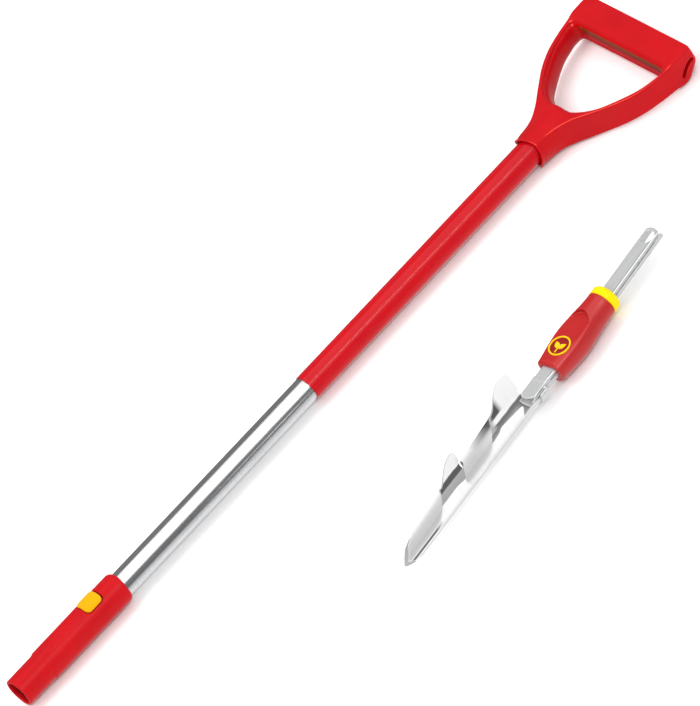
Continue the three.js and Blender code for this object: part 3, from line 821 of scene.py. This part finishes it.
def button_field(x, y, z):
    radius = length(y, z)
    s = x - BUTTON_X
    body = trim(rect(s, y, 10.1, 9.3, 4.4), radius - 17.5, 2.0)
    # fine raised grid on the thumb face, fading out towards its border
    pitch = 2.3
    dots = 0.16 * (np.cos(2 * math.pi * s / pitch) * np.cos(2 * math.pi * y / pitch))
    fade = np.clip((9.0 - np.abs(s)) / 2, 0, 1) * np.clip((8.2 - np.abs(y)) / 2, 0, 1)
    body = body - np.where(radius > 15, dots * fade, 0)
    body = trim(body, 15.3 - radius, 0.5)
    return join(body, block(x - 103.5, y, z - 13.2, 5.4, 2.95, 2.65, 0.3), 0.8)


button = skin("release_button_skin", button_field, (91.5, -10.8, 9.5), (114.7, 10.8, 19), 0.35)
add(button, "yellow", "catch", "yellow_moulding", "release_button")

SPRING_FOOT = (103, 0, -2.6)
SPRING_R, SPRING_HEIGHT, SPRING_TURNS, WIRE_R = 2.7, 9.0, 5, 0.45


def spring_wire():
    """round wire on a closed-end helix"""
    steps, around = 280, 10
    verts, faces = [], []
    for i in range(steps + 1):
        s = i / steps
        a = 2 * math.pi * SPRING_TURNS * s
        rise = stations(s, [(0, 0), (0.12, 0.06), (0.88, 0.94), (1, 1)])
        outwards = np.array([math.cos(a), math.sin(a), 0])
        centre = SPRING_FOOT + SPRING_R * outwards + np.array([0, 0, SPRING_HEIGHT * rise])
        for k in range(around):
            b = 2 * math.pi * k / around
            verts.append(centre + WIRE_R * (math.cos(b) * outwards
                                            + math.sin(b) * np.array([0, 0, 1.0])))
    for i in range(0, steps * around, around):
        for k in range(around):
            k2 = (k + 1) % around
            faces.append([i + k, i + k2, i + around + k2, i + around + k])
    faces += [range(around)[::-1], range(steps * around, (steps + 1) * around)]
    return make("lever_spring_wire", verts, faces)


spring = spring_wire()
add(spring, "steel", "handle", "satin_steel", "lever_spring")
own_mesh(spring)


def screw(name, x, z_head, z_deep, r, node):
    """pan-head screw facing -Z, with a cross recess"""
    profile = fillet([(z_head, 0), (z_head, r - 0.5), (z_head + 0.9, r), (z_deep, r), (z_deep, 0)],
                     [0, 0.5, 0.3, 0.2, 0], closed=False, n=4)
    obj = lathe(name, profile, upright(x), segments=48, angle=40)
    long, thin = r * 0.62, 0.28
    cut(obj, *(prism(arm, oblong(x, *halves), z_head - 1, z_head + 0.9)
               for arm, halves in (("c1", (long, thin)), ("c2", (thin, long)))))
    sharpen(obj, 35)
    add(obj, "zinc", "handle", "zinc_steel", node)


screw("socket_screw_head", SOCKET_SCREW_X, -15.8, -13.2, 2.2, "socket_screw")
screw("yoke_screw_head", YOKE_SCREW_X, -15.0, -12.8, 2.3, "yoke_screw")


# ------------------------------------------------------------------ D-grip
def mirror(points):
    """a half outline closed by its mirror image in y"""
    half = [tuple(p) for p in points]
    return half + [(x, -y) for x, y in reversed(half) if abs(y) > 1e-6]


# half outlines, (x, y)
GRIP_OUTER = [
    (690, 10.5), (700, 11.8), (711, 16.0), (720, 20.8), (728, 26.0), (738, 34.4), (748, 42.6),
    (757, 49.8), (766, 55.8), (779, 62.8), (794, 67.9), (807, 70.4), (822, 72.3), (834, 72.8),
    (841.5, 72.4), (844.6, 70.6), (845.5, 66), (845.6, 44)]
GRIP_OPENING = [
    (815, 0), (815, 26), (815, 52), (814.6, 60), (812.4, 62.8), (806, 62.8), (800, 61.2),
    (788, 57.6), (776, 51.8), (764, 44.6), (754, 37.6), (746, 29), (740, 19), (736.8, 9), (736, 0)]
GRIP_BAR = [(811, 0), (811, 72.8), (845.6, 72.8), (845.6, 0)]
# (x, half thickness) of the arms
ARM_STATIONS = [(684, 9.5), (704, 11.6), (716, 13.6), (730, 14.8), (748, 14.4), (766, 13.8),
                (780, 13.2), (795, 12.9), (812, 13.6), (822, 14.4), (860, 14.4)]
# (x, radius)
COLLAR_STATIONS = [(680, 16.3), (700, 16.1), (712, 15.7), (722, 14.8), (740, 12.0)]

grip_outer = Outline(mirror(spline(GRIP_OUTER)))
grip_opening = Outline(mirror(spline(GRIP_OPENING, 8)))
grip_bar = Outline(mirror(fillet(GRIP_BAR, [0, 4, 3, 0], n=8)))


def grip_field(x, y, z):
    radius = length(y, z)
    side, height = np.abs(y), np.abs(z)
    arms = trim(grip_outer(x, y), height - stations(x, ARM_STATIONS), 2.2)
    opening = grip_opening(x, y)
    belly = 10.5 - np.sqrt(np.maximum(10.5 ** 2 - np.clip(height, 0, 10.4) ** 2, 0.01))
    arms = trim(arms, -opening + 0.35 * belly, 3.5)
    arms = trim(arms, 692 - x, 6.0)
    # collar with a beaded, saddle-shaped rim
    q = 0.682 * y + 0.731 * z
    rim = 684.2 + 6.6 * (1 - np.clip(np.abs(q) / 17.4, 0, 1) ** 2)
    bead = 0.8 * np.exp(-((x - rim - 1.6) / 1.3) ** 2)
    collar = trim(radius - (stations(x, COLLAR_STATIONS) + bead), x - 738, 8.0)
    # hand bar
    section = rect(x - 829.2 + 0.4 * (y / 70) ** 2, z, 16.4, 14.4, 10.5)
    bar = trim(section, grip_bar(x, y), 2.4)
    body = join(arms, bar, 3.0)
    body = trim(body, grip_outer(x, y), 2.0)
    # the ends round off towards the lower outer corner
    body = trim(body, 0.5 * (x - 846) - 0.63 * (z + 1) + 0.6 * (side - 72.8), 3.0)
    body = join(body, collar, 7.0)
    body = trim(body, rim - x, 1.1)
    # keep the opening open after blending
    body = trim(body, -opening - 0.2, 1.2)
    # ledge and two grooves along the bar's inner (-X) face
    strip = side - 56
    body = carve(body, meet(x - 815.6, 804 - x, height - 8.6, strip), 0.6)
    groove = meet(np.abs(height - 9.1) - 0.5, -(section + 2.4), strip, x - 824, 806 - x)
    body = carve(body, groove, 0.3)
    # end recesses for the plugs, tilted 30 degrees
    dx, dz = x - 831.6, z + 1.2
    u, w = 0.866 * dx + 0.5 * dz, 0.866 * dz - 0.5 * dx
    body = carve(body, meet(rect(u, w + 0.020 * u * u + 0.1, 10.2, 2.3, 2.2), 66.6 - side), 0.4)
    # bore in three steps, with the collar's underside and the screw hole
    body = carve(body, meet(radius - 13.9, x - 704), 0.5)
    body = carve(body, meet(radius - 14.9, x - rim - 5.0), 0.3)
    body = trim(body, -16.4 - z, 0.4)
    body = carve(body, meet(radius - 12.7, x - 724), 0.3)
    return carve(body, meet(length(x - YOKE_SCREW_X, y) - SCREW_HOLE_R, z + 12), 0.4)


grip = skin("d_grip_skin", grip_field, (681, -75, -18.5), (852, 75, 18.5),
            0.75)
add(grip, "grip_red", "handle", "red_moulding", "grip_yoke", "grip_bar_cover")
dress("grip_plug_left", "plug", 0.0005, 3)
dress("grip_plug_right", "plug", 0.0005, 3)

# ------------------------------------------------------------------ planter head
TROUGH_R, TROUGH_TIP_R = 13.0, 9.4  # radius at the shank end and towards the tip
TROUGH_CREST = 8.96  # height of the spine in the blade frame


def shank_field(h, y, z):
    """h runs along the head"""
    y = y - SHANK_LEAN * np.maximum(h - SHANK_BEND_START, 0)
    half_width, top, sheet = 8.25, 4.25, 2.0
    outer = np.maximum(rect(y, z - (top - 8.0), half_width, 8.0, 2.3), -top - z)
    channel = rect(y, z - (top - sheet - 8.0), half_width - sheet, 8.0, 0.8)
    body = carve(outer, channel, 0.3)
    # seam line along both outer flanges, opening into a wedge at the free end
    wedge = np.clip((h - 379) / 16, 0, 1) * 1.35
    seam = meet(np.abs(z - 0.9 + wedge * 0.3) - 0.25 - wedge * 0.8,
                half_width - 0.4 - wedge * 0.9 - np.abs(y))
    body = carve(body, seam, 0.15)
    # rounded free end and big catch hole
    nose = length(np.maximum(np.abs(y) - 1.2, 0), np.maximum(h - 388.6, 0)) - 7.05
    body = trim(body, np.where((z > 0.4) & (h > 388.6), nose, h - 395.6), 0.5)
    body = carve(body, meet(length((h - 385.4) * 0.96, y) - 6.75, -3 - z), 0.5)
    body = trim(body, 212 - h, 0.5)
    # flat tongue that runs on into the trough, with a curved end
    tongue = rect(y, z - (top - 1.0), half_width, 1.0, 0.8)
    tongue = trim(tongue, (191.5 + 0.055 * (y - 1) ** 2) - h, 0.8)
    tongue = trim(tongue, h - 216, 0.8)
    body = join(body, tongue, 0.8)
    # rolled tab that hugs the trough's wall, and the ear over its lip
    v = -BLADE_COS * y - BLADE_SIN * z - (TROUGH_CREST - TROUGH_R)
    f = BLADE_SIN * y - BLADE_COS * z
    rho, phi = length(v, f), np.degrees(np.arctan2(f, v))
    tab = meet(np.abs(rho - 10.7) - 0.95, np.abs(phi - 30) * 0.19 - 13.0)
    tab = trim(tab, np.abs(h - 201) - 10, 0.8)
    ear_arc = np.abs(phi + 14) * 0.24
    ear = trim(np.abs(rho - 15.0) - 1.15, ear_arc - 8.0, 1.0)
    ear = trim(ear, np.abs(h - 204.2) - 5.2, 1.4)
    bridge = trim(np.abs(rho - 13.0) - 3.1, ear_arc - 7.2, 1.0)
    bridge = trim(bridge, np.abs(h - 209.4) - 1.3, 0.8)
    body = join(body, tab, 1.2)
    body = join(body, join(ear, bridge, 1.0), 1.2)
    return carve(body, length(h - 240, z) - 2.3, 0.3)


shank = skin("head_shank_skin", shank_field, (188, -18, -17), (398, 16, 7),
             0.45, head_row)
add(shank, "satin", "head", "satin_steel", "head_shank")

BADGE_X = 249.5
# (h, radius)
HEAD_SLEEVE_STATIONS = spline([
    (226, 14.3), (228, 14.4), (236, 15.2), (246, 16.4), (256, 17.2), (264, 17.4), (274, 16.7),
    (286, 15.4), (298, 14.3), (309, 13.9), (312, 13.8)], 8)
# (h, blend width of the facet's border)
FACET_BLEND = [(228, 6.0), (236, 5.0), (252, 3.0), (268, 1.2), (276, 0.7)]


def head_sleeve_field(h, y, z):
    body = length(y, z) - stations(h, HEAD_SLEEVE_STATIONS)
    body = trim(body, h - 309, 0.6)
    body = trim(body, 228 - h, 1.2)
    # flat facet with a teardrop end
    teardrop = length((h - 275) / 14.2, y / 12.8) * 13 - 13
    facet = meet(10.1 - z, np.where(h > 275, teardrop, -5))
    body = carve(body, facet, stations(h, FACET_BLEND))
    # seat of the badge, and the passage for the shank
    body = carve(body, meet(length(h - BADGE_X, y) - 11.2, 9.2 - z), 0.3)
    return carve(body, meet(rect(y, z, 8.95, 5.0, 1.6), -1.0), 0.3)


head_sleeve = skin("head_sleeve_skin", head_sleeve_field, (226, -19, -19), (311, 19, 19),
                   0.5, head_row)
add(head_sleeve, "head_red", "head", "red_moulding", "head_sleeve")

# badge: a raised ring round a plain field with a two-leaf sprout; profiles are (z, radius)
badge_to = upright(BADGE_X, head_row)
field_profile = fillet([(8.8, 0), (8.8, 11.0), (10.0, 11.0), (10.0, 0)], [0, 0.1, 0.1, 0],
                       closed=False)
badge = lathe("badge_field", field_profile, badge_to, segments=96, angle=40)
add(badge, "badge_red", "head", "red_moulding", "sleeve_badge")
rim_profile = fillet([(9.5, 9.5), (9.5, 11.1), (10.6, 11.1), (10.6, 9.5)], 0.22)
badge_rim = lathe("badge_rim", rim_profile, badge_to, segments=96, angle=40)
add(badge_rim, "badge_yellow", "head", "yellow_moulding")


def leaf(side):
    """leaf outline leaning to one side (1 or -1) of the stem"""
    span, width, n = 8.6, 5.2, 18
    c, s = math.cos(0.72 * side), math.sin(0.72 * side)
    steps = [(i / n, 1) for i in range(n + 1)] + [(i / n, -1) for i in range(n - 1, 0, -1)]
    out = []
    for t, sign in steps:
        a, b = t * span, sign * width * math.sin(math.pi * t ** 0.8) * 0.5
        out.append((246.6 + a * c - b * s, 0.2 * side + a * s + b * c))
    return out


stem = fillet([(241.6, -0.75), (247.6, -0.6), (247.6, 0.6), (241.6, 0.75)], 0.4)
for i, outline in enumerate([leaf(1), leaf(-1), stem]):
    sprout = prism(f"badge_sprout_{i + 1}", outline, 9.9, 10.4, head_row)
    ease(sprout, 0.00012, 2, 50)
    add(sprout, "badge_yellow", "head", "yellow_moulding")

dress("sleeve_pin", "steel", 0.0003, 3)
# (h, radius)
COLLAR_RING = [(309.3, 9.8), (309.3, 14.2), (316.2, 14.2), (318.4, 12.6), (318.8, 11.2),
               (319.4, 10.6), (319.4, 9.8)]
ring = lathe("collar_ring_skin", fillet(COLLAR_RING, [0.1, 0.5, 0.7, 0.6, 0.4, 0.2, 0.2]),
             head_row, angle=40)
add(ring, "ring_yellow", "head", "yellow_moulding", "collar_ring")

# ------------------------------------------------------------------ blade
# One rolled sheet whose free edge unrolls into two turned-out lobes. It is laid out flat in
# (theta, h): theta is the roll in degrees past ROLL_START, negative on the base sheet.
ROLL_START = 118.0
SEAM = 300.0 - ROLL_START  # the lower leaf's edge along the seam
ARC = 0.2  # mm of flat sheet per degree
TIP_H, SPLIT, TOP_H = -6, 108.5, 196.5  # ends of the sheet, and the slit between the leaves
SPLIT_LOW = SPLIT - 0.6
# free edges of the lower and the upper leaf with their lobes
LOWER_EDGE = [(176.5, 46.7), (145.5, 58.6), (112.5, 67.5), (70, 73.5), (46, 78.4), (65, 87.5),
              (88.5, 96.8), (97, 106.1), (87.5, 110.6), (60, 110.6), (34, 107.6)]
UPPER_EDGE = [
    (97.5, 106.0), (128, 99.4), (152.5, 94.9), (171, 92.7), (192, 97.3), (201, 105.5),
    (201.5, 112.1), (191, 120), (177.5, 126.9), (162, 133.3), (137, 141.7), (106, 149.3),
    (76, 155), (54, 160), (56, 165), (66, 169.9), (77, 176), (99, 187), (102.5, 196.8),
    (86, 201.4), (49, 200.2), (22.5, 199.3)]
# the near lip (angle, h): tucked under the leaves, showing in between, notched at the top
NEAR_LIP = [
    (-70, -6), (-70, 38), (-85, 48), (-99, 58), (-98, 68), (-97, 76), (-96, 83), (-87, 93),
    (-84, 105), (-82, 125), (-81, 136.5), (-84, 147.5), (-90, 153), (-84, 167), (-76, 180),
    (-58, 178.5), (-43, 176), (-41, 182), (-41, 188)]
# the base's top edge (flat mm, h)
TOP_EDGE = [(0.0, TOP_H), (-3, 199.5), (-6, 203.5), (-12, 206.5), (-19, 207.6), (-24, 206),
            (-28, 202), (-31, 195)]
# the tip's oblique grind: what is cut off, (along, towards the spine, corner radius)
TIP_GRIND = [(26.8, -9.8, 0), (22, -9.3, 3), (12.4, -6.3, 4), (0, 2.7, 1.2), (1, 4.5, 2),
             (7.6, 8.1, 4), (17.2, 9.9, 0), (17.2, 40, 0), (-60, 40, 0), (-60, -60, 0),
             (26.8, -60, 0)]


def smooth_step(x, a, b):
    t = np.clip((x - a) / (b - a), 0, 1)
    return t * t * (3 - 2 * t)


def blade_surface(theta, h, unroll):
    """flat sheet to the blade frame; unroll: how far the sheet is opened, 1 being straight"""
    theta, h, unroll = np.broadcast_arrays(theta, h, np.asarray(unroll, float))
    R = TROUGH_TIP_R + (TROUGH_R - TROUGH_TIP_R) * np.clip((h - 28) / 124, 0, 1)
    base_angle = np.radians(ROLL_START + np.minimum(theta, 0))
    tuck = 0.75 * smooth_step(-theta, 150, 185)  # the near lip lies just inside the leaf
    v = TROUGH_CREST - R + (R - tuck) * np.cos(base_angle)
    f = (R - tuck) * np.sin(base_angle)
    past = np.radians(np.maximum(theta, 0))
    curl = np.where(np.abs(1 - unroll) < 1e-3, 1e-3, 1 - unroll)
    heading = math.radians(ROLL_START + 90)
    v = v + R / curl * (np.sin(heading + curl * past) - math.sin(heading))
    f = f + R / curl * (-np.cos(heading + curl * past) + math.cos(heading))
    lift = 1.25 * smooth_step(theta, 70, 130) * np.clip(1 - unroll, 0, 1)
    normal = math.radians(ROLL_START) + curl * past
    return np.stack([h, v + lift * np.cos(normal), f + lift * np.sin(normal)], -1)


def triangulated(boundary):
    """triangles over a closed flat outline: its points and a staggered grid inside it"""
    B = np.array(boundary, float)
    step_t, step_h = 1.1, 1.3
    plan = Outline(B, 0.25, 3.0)
    low, high = B.min(0), B.max(0)
    rows = np.arange(low[1], high[1], step_h)
    X, Y = np.meshgrid(np.arange(low[0], high[0], step_t), rows, indexing="ij")
    X = X + (np.arange(len(rows)) % 2)[None, :] * step_t * 0.5
    keep = plan(X, Y) < -0.55
    points = np.vstack([B, np.stack([X[keep], Y[keep]], 1)])
    n = len(B)
    edges = [(i, (i + 1) % n) for i in range(n)]
    res = delaunay_2d_cdt([Vector(p) for p in points], edges, [list(range(n))], 1, 1e-5)
    return np.array([tuple(v) for v in res[0]]), res[2]


def paced(points, gap):
    """points spaced evenly along a polyline"""
    P = np.array(points, float)
    run = np.r_[0, np.cumsum(np.linalg.norm(np.diff(P, axis=0), axis=1))]
    n = max(1, int(round(run[-1] / gap)))
    s = np.linspace(0, run[-1], n + 1)
    return np.stack([np.interp(s, run, P[:, k]) for k in range(2)], 1)


def flat(points, zero=0.0):
    return [((t - zero) * ARC, h) for t, h in points]


def blade_outlines():
    """flat outlines of the base, the lower leaf and the upper leaf"""
    seam = SEAM * ARC
    low_line, high_line = (np.array([(0.0, h) for h in np.arange(start, stop, 1.2)])
                           for start, stop in ((TIP_H, SPLIT_LOW), (SPLIT, TOP_H)))
    lower_free = paced(spline([(seam, 38), (seam, 42.5)] + flat(LOWER_EDGE)
                              + [(4.0, SPLIT - 1.5), (0.0, SPLIT_LOW)], 8), 0.9)
    upper_free = paced(spline([(0.0, SPLIT), (5.0, SPLIT + 0.2)] + flat(UPPER_EDGE)
                              + [(0.0, TOP_H)], 8), 0.9)
    lower = np.vstack([
        low_line[::-1][:-1], [(0.0, TIP_H)], paced([(0.0, TIP_H), (seam, TIP_H)], 1.2)[1:-1],
        paced([(seam, TIP_H), (seam, 38)], 0.9)[:-1], lower_free[:-1], [(0.0, SPLIT_LOW)]])
    upper = np.vstack([upper_free, high_line[::-1][:-1]])
    lip = spline(flat(NEAR_LIP, ROLL_START), 8)
    top = spline(TOP_EDGE + [tuple(lip[-1])], 6)
    base = np.vstack([
        paced([lip[0], (0, TIP_H)], 1.2)[:-1], low_line, [(0.0, SPLIT_LOW)], high_line,
        [(0.0, TOP_H)], paced(top, 1.0)[1:-1], paced(lip[::-1], 1.0)[:-1]])
    return base, lower, upper


def build_blade():
    unrolls = (lambda h: 0,
               lambda h: 1.06 * smooth_step(h, 68, 90),
               lambda h: 1.16 * smooth_step(h, 152, 180))
    verts, faces, kinds = [], [], []
    for part, (outline, unroll) in enumerate(zip(blade_outlines(), unrolls)):
        points, triangles = triangulated(outline)
        theta, h = points[:, 0] / ARC, points[:, 1]
        offset = len(verts)
        verts += list(blade_surface(theta, h, unroll(h)))
        faces += [[i + offset for i in f] for f in triangles]
        # the strip along the near lip has its own material
        kinds += [1 if part == 0 and theta[list(f)].mean() < -150 else 0 for f in triangles]
    blade = make("blade_sheet", verts, faces, blade_row)
    # outside and lip, then their inner faces two slots on, then the sheet's edges
    for key in ["blade", "blade_lip"] + ["blade_in"] * 2 + ["blade_edge"] * 3:
        blade.data.materials.append(MAT[key].owner)
    blade.data.polygons.foreach_set("material_index", kinds)
    weld(blade.data, 2e-5)
    sheet = blade.modifiers.new("sheet", "SOLIDIFY")
    sheet.thickness, sheet.offset, sheet.use_even_offset = 0.0016, 0.0, True
    sheet.material_offset, sheet.material_offset_rim = 2, 4
    applied(blade)
    grind = fillet([p[:2] for p in TIP_GRIND], [p[2] for p in TIP_GRIND])
    cut(blade, prism("tip_cutter", grind, -40, 40, blade_row, smooth=False, angle=None))
    ease(blade, 0.00025, 2, 50)
    applied(blade)
    sharpen(blade, 40)
    register(blade, "head", "polished_steel", "blade")


# (distance from the trough's axis, radius)
RIVET = [(8.9, 0), (8.9, 1.5), (9.3, 1.75), (13.6, 1.8), (13.75, 2.7), (14.2, 2.6), (14.55, 2.0),
         (14.75, 1.1), (14.8, 0)]


def rivet(name, h, degrees, node):
    """domed rivet through the trough's wall, at an angle round its axis"""
    a = math.radians(degrees)
    out = np.array([0, math.cos(a), math.sin(a)])
    along = np.array([1.0, 0, 0])
    axes = np.array([out, along, np.cross(out, along)])
    foot = np.array([h, TROUGH_CREST - TROUGH_R, 0])
    obj = lathe(name, fillet(RIVET, 0.15, closed=False, n=3),
                lambda p: blade_row(foot + p @ axes), segments=40, angle=45)
    add(obj, "steel", "head", "satin_steel", node)


build_blade()
rivet("blade_rivet_lower_dome", 198, 22, "blade_rivet_lower")
rivet("blade_rivet_upper_dome", 198, 70, "blade_rivet_upper")


# ------------------------------------------------------------------ floor, light, camera
def pale_floor():
    """pale to the eye; polished pieces see a glow that fades at grazing angles"""
    m = Material("pale_floor")
    m.colour(m.mix(m.noise(scale=3.0, detail=3), (0.97, 0.97, 0.97), (0.95, 0.95, 0.95)))
    m.set("Roughness", 0.7)
    m.set("Specular IOR Level", 0.1)
    steepness = m.calc("ABSOLUTE", m.parts(m.node("NewGeometry").outputs["Incoming"])[2])
    glow = m.node("Emission", {0: m.ramp(
        steepness, [(0.0, 0.12), (0.28, 0.16), (0.42, 0.50), (0.9, 0.85)])})
    glossy = m.node("LightPath").outputs["Is Glossy Ray"]
    m.feed(m.output.inputs[0], m.mix_shader(glossy, m.shader, glow))
    return m.owner


def studio_world():
    """even light, but a bright band overhead for reflections; stops are (degrees about X, grey)"""
    world = bpy.data.worlds.new("studio")
    bpy.context.scene.world = world
    w = Nodes(world)
    x, y, z = w.parts(w.node("TexCoord").outputs["Generated"])
    turn = w.linear(w.calc("ARCTAN2", y, z), 1 / (2 * math.pi), 0.5)
    band = [(-180, 0.45), (-96, 0.20), (-62, 0.13), (-52, 1.28), (24, 1.30), (36, 0.14),
            (92, 0.22), (180, 0.45)]
    shiny = w.node("Background", {0: w.ramp(turn, spread(band, 360))})
    soft = w.node("Background", {0: (1, 1, 1), 1: 1.05})
    glossy = w.node("LightPath").outputs["Is Glossy Ray"]
    w.node("OutputWorld", {0: w.mix_shader(glossy, soft, shiny)})


def lamp(name, tilt, lean, distance, size_x, size_y, power, glossy):
    a = math.radians(tilt)
    z = Vector((math.sin(math.radians(lean)), math.sin(a), math.cos(a))).normalized()
    data = bpy.data.lights.new(name, "AREA")
    data.shape, data.size, data.size_y, data.energy = "RECTANGLE", size_x, size_y, power
    obj = link(name, data)
    obj.location = z * distance
    x = (Vector((1, 0, 0)) - z * z.x).normalized()
    obj.rotation_euler = Matrix((x, z.cross(x), z)).transposed().to_euler()
    obj.visible_glossy = glossy


def place_camera():
    """distant camera; points are in the working frame, distances and widths in metres"""
    distance, view_width, sensor = 20.0, 0.6328, 36
    view = np.array([-0.25, -0.708, 0.660])  # from the target to the camera
    view /= np.linalg.norm(view)
    right = np.array([0.6606, -0.6234, -0.4180])
    right -= view * (right @ view)
    right /= np.linalg.norm(right)
    up = np.cross(view, right)
    # a slight roll about a point of the shaft, then a small shift of the picture
    roll, pivot = 0.0059, np.array([573.6, 0.0, 0.0])
    c, s = math.cos(roll), math.sin(roll)
    right, up = right * c + up * s, up * c - right * s
    arm = np.array([436.4, -9.5, 0.0]) - pivot
    target = pivot + arm + s * np.cross(view, arm) - (1 - c) * (arm - view * (arm @ view))
    target = target - 1.08 * right + 0.27 * up

    data = bpy.data.cameras.new("camera")
    camera = link("camera", data)
    data.sensor_width = sensor
    data.lens = sensor * distance / view_width
    data.clip_start, data.clip_end = 1, 80
    turn = Matrix((right, up, view)).transposed().to_4x4()
    place = Vector(row(target)) + Vector(view) * distance
    camera.matrix_world = Matrix.Translation(place) @ turn
    bpy.context.scene.camera = camera


bpy.ops.mesh.primitive_grid_add(x_subdivisions=4, y_subdivisions=4, size=60,
                                location=(0, 0, -0.0004))
floor = bpy.context.object
floor.name = "floor"
floor.data.materials.append(pale_floor())
studio_world()
lamp("key_soft", tilt=20, lean=-20, distance=3.0, size_x=2.4, size_y=1.6, power=38, glossy=False)
lamp("strip", tilt=-36, lean=0, distance=2.4, size_x=3.0, size_y=0.05, power=16, glossy=True)
place_camera()
bpy.context.scene.view_settings.view_transform = "Standard"
bpy.context.scene.view_settings.look = "None"
